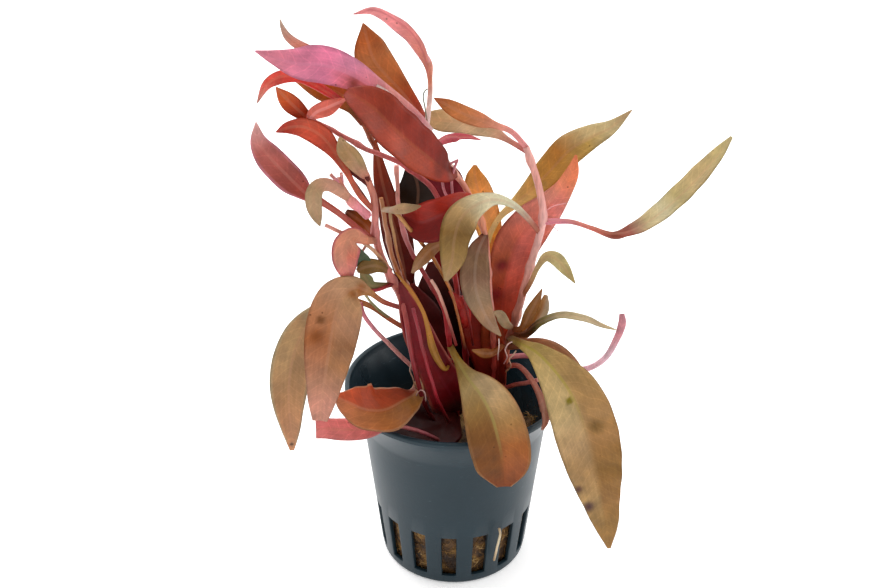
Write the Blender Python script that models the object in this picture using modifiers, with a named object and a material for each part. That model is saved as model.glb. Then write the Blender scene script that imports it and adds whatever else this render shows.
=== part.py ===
"""Alternanthera reineckii, a red-leaved stem plant, rooted in rock wool in a slotted plastic net pot.

The origin is the centre of the pot's flat base, +Z is up, and the front of the plant faces -Y.
"""
import math

import bmesh
import bpy
import numpy as np
from mathutils import Matrix, Vector
from mathutils.geometry import intersect_point_line

MM = 0.001

# Pot: a 5 cm net pot with a flared collar and a ring of upright slots near its base
POT_HEIGHT = 45.6 * MM
POT_RIM_RADIUS = 25.0 * MM
POT_COLLAR_RADIUS = 21.2 * MM
POT_COLLAR_HEIGHT = 37.5 * MM
POT_BASE_RADIUS = 17.2 * MM
POT_WALL = 1.0 * MM
POT_LIP = 1.7 * MM
POT_LIP_DEPTH = 1.2 * MM
POT_LIP_ROUND = 0.4 * MM
POT_FOOT_ROUND = 1.0 * MM
POT_SIDES = 48
SLOT_COUNT = 16
SLOT_WIDTH = 3.4 * MM
SLOT_BOTTOM = 2.7 * MM
SLOT_TOP = 14.8 * MM
SLOT_TURN = math.radians(-94.2)
SLOT_CUT_DEPTH = 6.0 * MM

# Rock wool plug: fills the pot to this height, with a tuft that climbs the wall at the right front
WOOL_HEIGHT = 29.4 * MM
WOOL_SIDES = 24
WOOL_TUFT_RISE = 9.0 * MM
WOOL_TUFT_PLACE = (16.5 * MM, -3.0 * MM)
WOOL_TUFT_REACH = 5.5 * MM
WOOL_EDGE_DROP = 1.5 * MM
WOOL_LUMP_HEIGHT = 0.6 * MM
WOOL_LUMP_SIZE = 2.5 * MM
WOOL_FLAT_RADIUS = 14.0 * MM

GAP = 0.3 * MM
LEAF_THICKNESS = 0.8 * MM
LEAF_TIP_WIDTH = 0.5 * MM
LEAF_ROWS = 8
WIDE_LEAF_ROWS = 10
LEAF_FINE_ROWS = 60
LEAF_COLUMNS = (-1, 0, 1)
WIDE_LEAF_COLUMNS = (-1, -0.5, 0, 0.5, 1)
CURVE_STEPS = 12
STEM_POINTS = 10
STEM_TAPER = 0.3

# The eye that the routes below are read from: pixels of an 880 x 588 picture, seen from the front
# and above. Each route point is (pixel across, pixel down, depth in mm behind the pot's axis).
PICTURE_CENTRE = (440, 294)
PICTURE_FOCAL = 1100
EYE_PITCH = math.radians(28.43)
EYE_DISTANCE = 239.6 * MM
EYE_AIM = Vector((-3.34 * MM, 0, 67.62 * MM))
EYE_FORWARD = Vector((0, math.cos(EYE_PITCH), -math.sin(EYE_PITCH)))
EYE_RIGHT = Vector((1, 0, 0))
EYE_UP = EYE_RIGHT.cross(EYE_FORWARD)
EYE = EYE_AIM - EYE_FORWARD * EYE_DISTANCE

COLOURS = {
    "slate_plastic": (0.045, 0.075, 0.088),
    "rock_wool": (0.24, 0.14, 0.045),
    "pink": (0.68, 0.27, 0.29),
    "magenta": (0.56, 0.12, 0.24),
    "coral": (0.56, 0.15, 0.12),
    "rust": (0.36, 0.07, 0.03),
    "wine": (0.22, 0.02, 0.02),
    "orange": (0.47, 0.16, 0.04),
    "amber": (0.55, 0.26, 0.07),
    "olive": (0.40, 0.32, 0.13),
    "tan": (0.46, 0.27, 0.13),
    "mauve": (0.38, 0.21, 0.15),
}

# Stems: radius in mm, then the route from the wool to the tip
STEMS = {
    "stem_left": ("coral", 0.9, [
        (437, 421, 5), (431, 398, 3), (421, 365, 0), (412, 333, -3), (406, 312, -5),
        (399, 292, -7), (390, 276, -9), (382, 259, -10), (377, 244, -11), (375, 229, -12),
        (375, 213, -13), (374, 198, -13), (370, 186, -13), (363, 172, -13)]),
    "stem_left_second": ("coral", 0.6, [
        (446, 414, 9), (440, 390, 8), (435, 360, 6), (430, 328, 3), (422, 307, 1), (411, 292, -1),
        (401, 277, -3), (393, 259, -5), (388, 236, -6), (384, 216, -7), (381, 198, -7)]),
    "stem_centre": ("pink", 0.7, [
        (487, 418, 4), (492, 390, 1), (494, 360, -1), (493, 330, -3), (490, 300, -4), (488, 270, -5),
        (486, 240, -6), (480, 217, -7), (472, 200, -8), (461, 181, -8), (450, 166, -8),
        (441, 152, -8), (433, 138, -8), (427, 126, -8)]),
    "stem_right": ("pink", 0.9, [
        (501, 411, 6), (502, 385, 4), (504, 360, 3), (508, 340, 2), (514, 325, 1), (521, 300, 0),
        (528, 275, -1), (535, 250, -2), (541, 230, -3), (543, 212, -4), (541, 196, -4),
        (536, 178, -4), (530, 160, -4), (526, 147, -4)]),
    "stem_middle": ("pink", 0.55, [
        (458, 424, 2), (456, 390, -2), (450, 345, -6), (447, 325, -7), (443, 307, -8),
        (432, 287, -9), (422, 270, -9), (410, 250, -8), (402, 225, -6), (398, 199, -4),
        (397, 180, -3), (396, 165, -3)]),
    "stem_diagonal": ("coral", 0.6, [
        (471, 417, 6), (469, 390, 4), (466, 360, 2), (462, 325, 0), (457, 290, -1), (452, 260, -2),
        (447, 235, -3), (443, 212, -4), (436, 195, -5), (428, 184, -6), (415, 173, -7),
        (402, 164, -8), (390, 158, -8), (377, 153, -9), (364, 148, -11), (348, 139, -13),
        (330, 129, -14), (314, 122, -15), (303, 118, -15)]),
    "stem_back_left": ("coral", 0.6, [
        (436, 396, 13), (430, 370, 13), (420, 320, 12), (410, 270, 10), (400, 225, 7),
        (388, 183, 3), (376, 150, 0), (362, 122, -2), (345, 102, -4)]),
    "stem_back": ("coral", 0.7, [
        (476, 396, 14), (478, 370, 15), (482, 330, 15), (486, 290, 13), (491, 262, 10)]),
    "stem_left_branch": ("pink", 0.85, [
        (367, 216, -14.5), (360, 209, -16), (351, 201, -17), (343, 190, -18), (337, 178, -18)]),
}

# Leaves: the stem that carries it, its colour, then route points with the width in mm as a fourth
# number, from stalk to tip. turn is the roll of the blade about its midrib in degrees, at the
# stalk and at the tip: 0 shows the viewer its full width, and a positive turn brings the side on
# the right of the growing direction nearer. fold is the rise of each half from flat.
LEAVES = {
    "leaf_top_arch": dict(on="stem_centre", colour="pink", turn=(40, 50), fold=25, route=[
        (429, 120, -7, 1.1), (430, 96, -6, 1.1), (430, 78, -6, 1.1), (427, 60, -6, 2.4),
        (415, 36, -6, 4.2), (397, 20, -6, 4.0), (374, 9, -6, 2.6), (353, 14, -6, 0.3)]),
    "leaf_top_upright": dict(on="stem_centre", colour="rust", turn=(10, -10), fold=12, route=[
        (427, 126, -6, 1.4), (416, 110, -3, 3.0), (402, 92, 0, 4.4), (386, 75, 1, 6.6),
        (374, 60, 2, 7.4), (368, 43, 2, 6.0), (363, 23, 1, 0.3)]),
    "leaf_magenta": dict(on="stem_centre", colour="magenta", turn=(10, -15), fold=18, wide=True, route=[
        (429, 133, -9, 1.8), (413, 116, -12, 3.0), (396, 101, -13.5, 3.0), (375, 88, -14, 4.2),
        (348, 73, -15, 6.2), (322, 65, -16, 7.2), (298, 64, -16, 6.0), (275, 58, -16, 3.0),
        (255, 51, -15, 0.3)]),
    "leaf_rust_layer": dict(on="stem_back_left", colour="orange", turn=(0, 0), fold=8, route=[
        (362, 124, -2, 1.4), (354, 106, -4, 3.6), (338, 93, -5, 5.4), (318, 86, -5.5, 4.8),
        (293, 79, -6.5, 0.4)]),
    "leaf_thin_curl": dict(on="stem_back_left", colour="tan", turn=(20, 50), fold=25, route=[
        (353, 110, -3, 1.2), (352, 88, -3, 2.0), (330, 60, -6, 2.8), (305, 46, -8, 3.0),
        (291, 37, -8.5, 2.6), (284, 28, -8.5, 1.5), (280, 19, -8.5, 0.3)]),
    "leaf_coral_hook": dict(on="stem_back_left", colour="coral", turn=(20, 30), fold=20, route=[
        (346, 103, -4, 1.1), (325, 90, -9, 1.8), (304, 78, -13.5, 2.2), (288, 75, -14.4, 2.8),
        (275, 78, -14.4, 2.8), (265, 86, -14, 2.0), (257, 103, -13, 0.3)]),
    "leaf_orange_tip": dict(on="stem_diagonal", colour="orange", turn=(0, 20), fold=15, route=[
        (312, 122, -16, 1.2), (303, 114, -16, 2.6), (292, 104, -16.5, 3.6), (284, 96, -16.5, 2.8),
        (276, 87, -16.5, 0.3)]),
    "leaf_coral_fold": dict(on="stem_diagonal", colour="coral", turn=(-20, -10), fold=20, route=[
        (307, 119, -17, 1.2), (316, 112, -18, 2.8), (328, 107, -18, 3.2), (337, 103, -18, 2.0),
        (346, 99, -17, 0.3)]),
    "leaf_coral_low": dict(on="stem_left", colour="coral", turn=(20, 20), fold=18, route=[
        (372, 212, -13, 1.2), (360, 195, -14, 1.2), (347, 172, -14.5, 1.4), (335, 152, -15.5, 2.8),
        (322, 136, -16.5, 4.6), (305, 127, -17.5, 4.2), (290, 127, -18, 2.8), (276, 132, -17, 0.3)]),
    "leaf_rust_front": dict(on="stem_centre", colour="rust", turn=(-20, -25), fold=10, wide=True, route=[
        (455, 178, -10, 1.4), (444, 166, -13.5, 3.6), (429, 154, -16, 6.6), (411, 142, -18.5, 8.2),
        (392, 126, -20, 9.0), (374, 109, -20.5, 8.4), (358, 98, -20.5, 5.4), (346, 92, -19.5, 1.8)]),
    "leaf_pink_left": dict(on="stem_left", colour="coral", turn=(0, 20), fold=15, wide=True, route=[
        (376, 246, -12, 1.2), (357, 228, -15, 1.3), (340, 214, -16, 1.3), (322, 202, -17, 1.5),
        (308, 195, -19, 2.6), (296, 184, -20, 5.0), (283, 171, -21, 5.8), (269, 156, -21, 5.4),
        (259, 141, -20, 3.4), (256, 122, -18, 0.3)]),
    "leaf_grey_curl": dict(on="stem_left_branch", colour="olive", turn=(0, 0), fold=10, route=[
        (350, 199, -17, 1.4), (340, 191, -20.5, 2.2), (329, 185, -22, 2.4), (319, 186, -23, 2.8),
        (314, 194, -23.5, 3.2), (314, 206, -23.5, 3.0), (317, 217, -23, 2.0), (320, 226, -22, 0.3)]),
    "leaf_folded_tan": dict(on="stem_left", colour="tan", turn=(0, 20), fold=35, route=[
        (364, 180, -14, 1.4), (360, 168, -16, 3.0), (353, 157, -17, 4.4), (345, 147, -17, 4.0),
        (340, 137, -17, 0.8)]),
    "leaf_salmon": dict(on="stem_left", colour="coral", turn=(0, 20), fold=12, route=[
        (378, 246, -13, 1.3), (366, 240, -16, 1.8), (354, 236, -18.3, 3.6), (347, 244, -18.5, 5.6),
        (345, 257, -18.5, 5.6), (347, 270, -18, 3.8), (351, 283, -16.5, 0.6)]),
    "leaf_pale_small": dict(on="stem_left_second", colour="olive", turn=(10, 10), fold=15, route=[
        (384, 213, -9, 1.1), (392, 210, -13, 1.4), (402, 209, -16, 2.2), (412, 208, -17, 1.6),
        (421, 206, -17, 0.3)]),
    "leaf_wine_fold": dict(on="stem_centre", colour="wine", turn=(15, 15), fold=25, wide=True, route=[
        (472, 200, -10, 1.6), (456, 206, -13, 6.0), (438, 216, -14, 9.4), (420, 222, -13, 7.6),
        (403, 215, -11, 0.6)]),
    "leaf_dark_olive": dict(on="stem_back_left", colour="olive", turn=(0, 10), fold=12, route=[
        (401, 230, 6, 1.4), (410, 212, 3, 3.8), (414, 196, 1, 6.0), (412, 180, 0, 5.8),
        (404, 163, 0, 0.8)]),
    "leaf_orange_right": dict(on="stem_right", colour="orange", turn=(0, 0), fold=12, route=[
        (525, 145, -4, 1.2), (512, 132, -3, 1.2), (495, 125, -3, 1.5), (480, 120, -3, 3.0),
        (462, 113, -3, 3.4), (447, 105, -3, 2.6), (434, 98, -3, 0.3)]),
    "leaf_olive_behind": dict(on="stem_right", colour="olive", turn=(0, 0), fold=10, route=[
        (524, 151, -3, 1.2), (508, 140, 0, 1.3), (494, 132, 2, 2.6), (478, 127, 3, 3.8),
        (458, 122, 4, 4.6), (440, 120, 4, 4.6), (426, 117, 4, 2.4), (416, 114, 4, 0.4)]),
    "leaf_thin_coral": dict(on="stem_centre", colour="coral", turn=(50, 60), fold=20, route=[
        (436, 141, -7, 0.9), (447, 139, -5, 2.0), (458, 138, -4, 2.4), (470, 138, -3, 1.8),
        (481, 140, -2, 0.3)]),
    "leaf_olive_right": dict(on="stem_centre", colour="olive", turn=(0, 15), fold=15, wide=True, route=[
        (486, 242, -5, 1.2), (492, 230, -3, 1.2), (500, 217, 1, 1.4), (512, 206, 5, 2.2),
        (530, 191, 7, 4.4), (550, 171, 8, 6.6), (570, 150, 8.5, 7.0), (592, 137, 8.5, 5.4),
        (612, 127, 8, 3.2), (632, 110, 7, 0.3)]),
    "leaf_coral_right": dict(on="stem_right", colour="coral", turn=(-12, -5), fold=15, wide=True, route=[
        (505, 345, 4, 2.2), (502, 325, 4, 5.0), (503, 300, 3.5, 7.2), (508, 270, 3, 9.0),
        (516, 245, 2, 10.0), (530, 225, 1.5, 9.4), (548, 207, 1.5, 7.0), (563, 189, 1.5, 4.4),
        (572, 172, 2, 3.0), (576, 155, 2.5, 0.5)]),
    "leaf_amber": dict(on="stem_back", colour="amber", turn=(0, 0), fold=12, route=[
        (491, 268, 9, 1.3), (492, 248, 6, 3.6), (489, 228, 4, 5.6), (483, 208, 3, 6.6),
        (478, 190, 3, 6.0), (475, 176, 3, 4.2), (475, 165, 3, 0.8)]),
    "leaf_sage_arch": dict(on="stem_right", colour="olive", turn=(20, 10), fold=15, wide=True, route=[
        (540, 234, -3, 1.2), (526, 216, -6, 1.3), (512, 204, -9, 1.6), (494, 199, -12, 2.6),
        (474, 206, -15, 5.0), (460, 220, -17, 7.0), (454, 240, -18, 6.2), (452, 260, -18, 4.8),
        (446, 281, -17, 0.8)]),
    "leaf_mauve": dict(on="stem_centre", colour="mauve", turn=(0, 0), fold=15, route=[
        (485, 241, -8, 1.4), (478, 252, -12, 4.4), (475, 271, -14, 6.2), (476, 290, -15, 5.8),
        (482, 308, -15, 4.4), (490, 323, -14, 2.8), (501, 336, -13, 0.3)]),
    "leaf_tan_ribbon": dict(on="stem_diagonal", colour="tan", turn=(20, 20), fold=10, route=[
        (450, 247, -4, 1.3), (441, 244, -9, 2.2), (431, 249, -12, 3.0), (421, 260, -13, 2.8),
        (412, 273, -13, 0.6)]),
    "leaf_sword": dict(on="stem_right", colour="olive", turn=(40, 55), fold=10, wide=True, route=[
        (543, 224, -4, 1.4), (558, 221, -4, 1.3), (573, 222, -3, 1.1), (592, 228, -2, 1.1),
        (614, 235, -1, 1.8), (636, 229, 0, 4.2), (660, 214, 0, 6.0), (685, 192, 1, 6.8),
        (706, 170, 1, 6.2), (722, 151, 1, 4.0), (732, 137, 1, 1.0)]),
    "leaf_small_olive": dict(on="stem_right", colour="olive", turn=(20, 0), fold=10, route=[
        (521, 300, -1, 1.1), (530, 284, -3, 1.1), (538, 267, -4, 1.2), (546, 257, -5, 2.0),
        (556, 259, -6, 3.0), (565, 269, -6, 2.4), (575, 283, -6, 0.3)]),
    "leaf_low_pointed": dict(on="stem_right", colour="orange", turn=(0, 0), fold=15, route=[
        (514, 336, -1, 1.1), (522, 328, -4, 1.6), (530, 313, -5, 2.6), (537, 300, -5, 1.8),
        (542, 289, -5, 0.3)]),
    "leaf_low_blunt": dict(on="stem_right", colour="tan", turn=(0, 0), fold=15, route=[
        (510, 340, 4, 1.1), (526, 335, 4, 1.6), (536, 321, 3, 2.6), (543, 308, 3, 3.0),
        (546, 295, 3, 1.0)]),
    "leaf_narrow_olive": dict(on="stem_right", colour="olive", turn=(50, 65), fold=10, route=[
        (511, 332, 2, 1.3), (526, 333, -2, 1.8), (540, 323, -5, 2.6), (560, 316, -7, 3.0),
        (583, 319, -8, 3.2), (602, 326, -8, 2.2), (617, 330, -8, 0.3)]),
    "leaf_pink_rod": dict(on="stem_right", colour="pink", turn=(30, 60), fold=30, route=[
        (506, 352, 5, 1.2), (530, 356, 5, 1.2), (560, 366, 2.5, 1.3), (585, 369, 1, 1.4),
        (605, 358, 0, 1.4), (617, 338, 0, 1.6), (622, 324, 0, 1.8), (622, 314, 0, 1.2)]),
    "leaf_hanging_right": dict(on="stem_right", colour="tan", turn=(10, 0), fold=10, wide=True, route=[
        (510, 350, -2, 1.5), (523, 345, -8, 2.2), (537, 353, -12, 4.4), (553, 369, -16, 8.0),
        (568, 389, -19, 11.4), (579, 412, -21, 13.2), (588, 440, -22, 13.4), (595, 470, -23, 11.6),
        (601, 500, -23, 8.2), (606, 524, -23, 5.4), (609, 548, -22, 0.8)]),
    "leaf_behind_right": dict(on="stem_right", colour="tan", turn=(0, 0), fold=10, route=[
        (508, 348, 2, 1.3), (530, 344, -1, 2.8), (548, 353, -4, 6.0), (563, 369, -7, 7.4),
        (575, 390, -10, 6.6), (584, 415, -12, 4.2), (590, 436, -13, 0.5)]),
    "leaf_pink_droop": dict(on="stem_right", colour="pink", turn=(30, 30), fold=20, route=[
        (503, 368, 3, 1.2), (518, 366, -5, 1.2), (530, 378, -10, 1.3), (538, 392, -14, 1.5),
        (543, 406, -17, 1.9), (545, 420, -19, 1.8), (542, 430, -20, 0.6)]),
    "leaf_hanging_front": dict(on="stem_middle", colour="orange", turn=(0, 0), fold=10, wide=True, route=[
        (452, 350, -7, 1.5), (459, 363, -12, 2.0), (468, 378, -17, 4.6), (481, 395, -21.5, 9.2),
        (491, 414, -25, 11.6), (497, 434, -27.2, 12.6), (501, 452, -28.4, 12.4),
        (503, 470, -29, 10.2), (504, 486, -29, 3.2)]),
    "leaf_hanging_left": dict(on="stem_left", colour="tan", turn=(0, 0), fold=12, wide=True, route=[
        (402, 312, -6, 1.1), (384, 302, -12, 1.1), (369, 292, -16, 1.6), (354, 288, -19, 5.0),
        (341, 300, -22, 9.4), (334, 322, -24, 10.8), (329, 350, -25, 10.0), (325, 378, -25, 7.8),
        (322, 400, -24.5, 5.8), (320, 420, -24, 3.2)]),
    "leaf_outer_left": dict(on="stem_left", colour="tan", turn=(0, 0), fold=12, wide=True, route=[
        (409, 332, -3, 1.1), (391, 320, -6, 1.1), (368, 305, -9, 1.2), (343, 300, -12, 1.6),
        (320, 312, -15, 4.0), (303, 332, -16, 7.0), (293, 358, -16.5, 8.4), (289, 385, -16.5, 8.2),
        (289, 408, -16.5, 6.4), (291, 430, -16.5, 4.0), (292, 450, -16, 1.0)]),
    "leaf_pink_low": dict(on="stem_left", colour="pink", turn=(-30, -20), fold=8, route=[
        (428, 399, -4, 1.1), (413, 403, -10.5, 1.5), (397, 411, -14.3, 2.6),
        (381, 423, -18.8, 4.0), (362, 429, -21, 5.2), (342, 430, -21.8, 5.0), (326, 429, -22, 4.6),
        (316, 430, -22, 4.0)]),
    "leaf_orange_low": dict(on="stem_left", colour="orange", turn=(-36, -30), fold=12, wide=True, route=[
        (426, 384, -3, 1.4), (416, 392, -10.5, 3.8), (403, 401, -15.3, 8.6),
        (385, 410, -19.5, 12.0), (366, 410, -21.8, 11.2), (349, 403, -22, 7.8),
        (335, 396, -21.2, 1.2)]),
    "leaf_dark_inside": dict(on="stem_middle", colour="wine", turn=(-20, -10), fold=10, wide=True, route=[
        (459, 411, 2, 2.4), (448, 412, -1, 6.0), (434, 417, -4, 8.0), (418, 422, -7, 7.4),
        (404, 426, -10.5, 4.6), (394, 428, -13.5, 0.8)]),
    "leaf_crown_wine": dict(on="stem_middle", colour="wine", turn=(10, 0), fold=20, wide=True, route=[
        (460, 412, -1, 3.4), (451, 392, -9, 8.4), (436, 371, -11, 6.4), (424, 350, -12, 5.8),
        (416, 330, -12, 5.6), (409, 308, -12, 4.2), (400, 282, -12, 0.8)]),
    "leaf_olive_low": dict(on="stem_left", colour="olive", turn=(0, 0), fold=15, route=[
        (389, 272, -10, 1.3), (377, 266, -14, 2.6), (366, 267, -16, 3.2), (357, 271, -16, 0.8)]),
    "leaf_brown_left": dict(on="stem_left", colour="orange", turn=(0, 0), fold=15, route=[
        (376, 234, -10, 1.2), (366, 226, -9, 2.8), (356, 218, -9, 3.2), (346, 211, -9, 1.0)]),
    "leaf_brown_behind": dict(on="stem_back_left", colour="rust", turn=(0, 0), fold=15, route=[
        (410, 285, 3, 1.4), (403, 262, 2.5, 5.4), (397, 236, 1, 6.6), (389, 208, -1, 5.0),
        (381, 176, -3, 3.4), (375, 140, -4.5, 0.6)]),
    "leaf_back_upper": dict(on="stem_centre", colour="wine", turn=(0, 0), fold=15, route=[
        (464, 205, -4, 1.4), (455, 193, -2, 5.6), (446, 180, -1, 6.8), (438, 167, -1, 5.0),
        (432, 156, -1, 0.8)]),
    "leaf_back_centre": dict(on="stem_back", colour="wine", turn=(0, 0), fold=15, route=[
        (478, 392, 14, 1.8), (470, 362, 11, 7.6), (462, 330, 9, 10.6), (455, 296, 9, 10.8),
        (449, 262, 10, 8.4), (444, 228, 11, 0.6)]),
    "leaf_back_right": dict(on="stem_back", colour="wine", turn=(0, 0), fold=15, route=[
        (483, 384, 15, 1.6), (489, 360, 15, 6.4), (492, 334, 15, 8.6), (492, 306, 16, 8.8),
        (489, 280, 17, 7.2), (484, 254, 18, 0.6)]),
    "leaf_back_hanging": dict(on="stem_back_left", colour="tan", turn=(0, 0), fold=12, route=[
        (422, 334, 13, 1.4), (438, 314, 21, 2.4), (451, 308, 29, 6.0), (461, 322, 35, 9.0),
        (465, 346, 38, 8.4), (464, 376, 39, 0.8)]),
}


def seen(pixel_x, pixel_y, depth):
    """Point at a depth in mm behind the pot's axis that the eye sees at a pixel."""
    across = (pixel_x - PICTURE_CENTRE[0]) / PICTURE_FOCAL
    rise = (PICTURE_CENTRE[1] - pixel_y) / PICTURE_FOCAL
    ray = EYE_FORWARD + EYE_RIGHT * across + EYE_UP * rise
    return EYE + ray * ((depth * MM - EYE.y) / ray.y)


def smooth(rows, count):
    """Even samples of the Catmull-Rom curve through the rows; the first three numbers are a place."""
    rows = np.array(rows, dtype=float)
    padded = np.vstack([2 * rows[0] - rows[1], rows, 2 * rows[-1] - rows[-2]])
    fine = []
    for a, b, c, d in zip(padded, padded[1:], padded[2:], padded[3:]):
        for t in np.linspace(0, 1, CURVE_STEPS, endpoint=False):
            fine.append(0.5 * (2 * b + (c - a) * t + (2 * a - 5 * b + 4 * c - d) * t ** 2
                               + (3 * b - a - 3 * c + d) * t ** 3))
    fine = np.array(fine + [rows[-1]])
    steps = np.linalg.norm(np.diff(fine[:, :3], axis=0), axis=1)
    length = np.concatenate([[0], np.cumsum(steps)])
    wanted = np.linspace(0, length[-1], count)
    return np.stack([np.interp(wanted, length, column) for column in fine.T], axis=1)


def make_collection(name):
    collection = bpy.data.collections.new(name)
    bpy.context.scene.collection.children.link(collection)
    return collection


def make_material(name):
    material = bpy.data.materials.new(name)
    material.use_nodes = True
    shader = material.node_tree.nodes["Principled BSDF"]
    shader.inputs["Base Color"].default_value = (*COLOURS[name], 1)
    shader.inputs["Roughness"].default_value = 0.45
    shader.inputs["Metallic"].default_value = 0.0
    return material


def add_object(name, data, material, collection):
    """Object of its own name, with its own copy of the material."""
    data.materials.append(make_material(material))
    item = bpy.data.objects.new(name, data)
    collection.objects.link(item)
    return item


def wall_radius(height):
    """Outer radius of the pot's wall below its collar."""
    return POT_BASE_RADIUS + (POT_COLLAR_RADIUS - POT_BASE_RADIUS) * height / POT_COLLAR_HEIGHT


def turned(name, profile, sides, material, collection):
    """Closed solid of revolution; the profile ends by running down its outer side to the axis."""
    mesh = bpy.data.meshes.new(name)
    edges = [(i, i + 1) for i in range(len(profile) - 1)]
    mesh.from_pydata([(radius, 0, height) for radius, height in profile], edges, [])
    item = add_object(name, mesh, material, collection)
    screw = item.modifiers.new("turn", "SCREW")
    screw.steps = screw.render_steps = sides
    screw.use_merge_vertices = True
    screw.merge_threshold = 0.00005
    screw.use_smooth_shade = True
    return item


def slot_cutter(cutters):
    """Ring of upright blocks that stand across the wall where the slots are."""
    blocks = bmesh.new()
    middle = (SLOT_BOTTOM + SLOT_TOP) / 2
    size = Matrix.Diagonal((SLOT_CUT_DEPTH, SLOT_WIDTH, SLOT_TOP - SLOT_BOTTOM, 1))
    for index in range(SLOT_COUNT):
        turn = Matrix.Rotation(SLOT_TURN + index * math.tau / SLOT_COUNT, 4, "Z")
        place = Matrix.Translation((wall_radius(middle), 0, middle))
        bmesh.ops.create_cube(blocks, size=1, matrix=turn @ place @ size)
    mesh = bpy.data.meshes.new("slot_cutter")
    blocks.to_mesh(mesh)
    blocks.free()
    cutter = bpy.data.objects.new("slot_cutter", mesh)
    cutters.objects.link(cutter)
    cutter.hide_render = True
    cutter.display_type = "WIRE"
    return cutter


def build_pot(collection, cutters):
    """Thin moulded cup: flat base, straight flared wall, wider collar, rounded lip and side slots."""
    inside = [(0, POT_WALL),
              (POT_BASE_RADIUS - POT_WALL, POT_WALL),
              (POT_COLLAR_RADIUS - POT_WALL, POT_COLLAR_HEIGHT),
              (POT_RIM_RADIUS - POT_LIP, POT_HEIGHT - POT_LIP_DEPTH)]
    lip = [(POT_RIM_RADIUS - POT_LIP + POT_LIP_ROUND, POT_HEIGHT),
           (POT_RIM_RADIUS - POT_LIP_ROUND, POT_HEIGHT),
           (POT_RIM_RADIUS, POT_HEIGHT - POT_LIP_ROUND),
           (POT_RIM_RADIUS, POT_HEIGHT - POT_LIP_DEPTH)]
    foot = [(POT_BASE_RADIUS - POT_FOOT_ROUND * (1 - math.cos(angle)),
             POT_FOOT_ROUND * (1 - math.sin(angle)))
            for angle in (0, math.radians(45), math.radians(90))]
    profile = inside + lip + [(POT_COLLAR_RADIUS, POT_COLLAR_HEIGHT)] + foot + [(0, 0)]
    pot = turned("pot", profile, POT_SIDES, "slate_plastic", collection)
    cut = pot.modifiers.new("slots", "BOOLEAN")
    cut.operation = "DIFFERENCE"
    cut.object = slot_cutter(cutters)


def wool_top(x, y):
    """Height of the wool's uneven top: low lumps, and one tuft that climbs at the right front."""
    lumps = WOOL_LUMP_HEIGHT * math.sin(x / WOOL_LUMP_SIZE + 1) * math.cos(y / WOOL_LUMP_SIZE)
    towards_edge = min(1, math.hypot(x, y) / WOOL_FLAT_RADIUS) ** 4
    away = math.hypot(x - WOOL_TUFT_PLACE[0], y - WOOL_TUFT_PLACE[1]) / WOOL_TUFT_REACH
    return WOOL_HEIGHT + lumps * towards_edge + WOOL_TUFT_RISE * math.exp(-away ** 2)


def build_wool(collection):
    """Plug of rock wool, a turned body with its top pushed into lumps."""
    floor = POT_WALL + GAP
    top_radius = wall_radius(WOOL_HEIGHT) - POT_WALL - 2 * GAP
    side_radius = wall_radius(WOOL_HEIGHT) - POT_WALL - GAP
    base_radius = wall_radius(floor) - POT_WALL - 2 * GAP
    profile = [(top_radius * share, WOOL_HEIGHT) for share in (0, 0.33, 0.6, 0.8, 1)]
    profile += [(side_radius, WOOL_HEIGHT - WOOL_EDGE_DROP), (base_radius, floor), (0, floor)]
    plug = turned("rock_wool", profile, WOOL_SIDES, "rock_wool", collection)
    solid = bpy.data.meshes.new_from_object(plug.evaluated_get(bpy.context.evaluated_depsgraph_get()))
    plug.modifiers.clear()
    plug.data = solid
    for vertex in solid.vertices:
        if vertex.co.z > WOOL_HEIGHT - WOOL_EDGE_DROP / 2:
            vertex.co.z = wool_top(vertex.co.x, vertex.co.y)


def stem_axis(name):
    """Places and radii along a stem, from wool to tip, as rows of x, y, z, radius."""
    radius, route = STEMS[name][1:]
    last = len(route) - 1
    rows = [(*seen(*point), radius * MM * (1 - STEM_TAPER * i / last))
            for i, point in enumerate(route)]
    return smooth(rows, max(STEM_POINTS, len(route)))


def build_stem(name, collection):
    """Round stem that thins a little towards its tip."""
    colour, radius = STEMS[name][:2]
    rows = stem_axis(name)
    curve = bpy.data.curves.new(name, "CURVE")
    curve.dimensions = "3D"
    curve.bevel_depth = radius * MM
    curve.bevel_resolution = 2
    curve.use_fill_caps = True
    spline = curve.splines.new("POLY")
    spline.points.add(len(rows) - 1)
    for point, row in zip(spline.points, rows):
        point.co = (*row[:3], 1)
        point.radius = row[3] / (radius * MM)
    add_object(name, curve, colour, collection)


def distance_to_stem(point, axis):
    """Clear distance from a point to the skin of a stem."""
    best = math.inf
    for start, end in zip(axis, axis[1:]):
        near, share = intersect_point_line(point, Vector(start[:3]), Vector(end[:3]))
        share = min(1, max(0, share))
        near = Vector(start[:3]).lerp(Vector(end[:3]), share)
        best = min(best, (Vector(point) - near).length - (start[3] + (end[3] - start[3]) * share))
    return best


def leaf_rows(leaf):
    """Places and widths along a leaf's midrib, starting just clear of the stem that carries it."""
    rows = [(*seen(*point[:3]), point[3] * MM) for point in leaf["route"]]
    axis = stem_axis(leaf["on"])
    nearest = min(axis, key=lambda row: np.linalg.norm(row[:3] - np.array(rows[0][:3])))
    rows[0] = (*nearest[:3], rows[0][3])
    fine = smooth(rows, LEAF_FINE_ROWS)
    clear = LEAF_THICKNESS / 2 + GAP
    start = 0
    while distance_to_stem(fine[start][:3], axis) < max(clear, fine[start][3] / 2 + GAP / 2):
        start += 1
    return smooth(fine[start:], WIDE_LEAF_ROWS if leaf.get("wide") else LEAF_ROWS)


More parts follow.
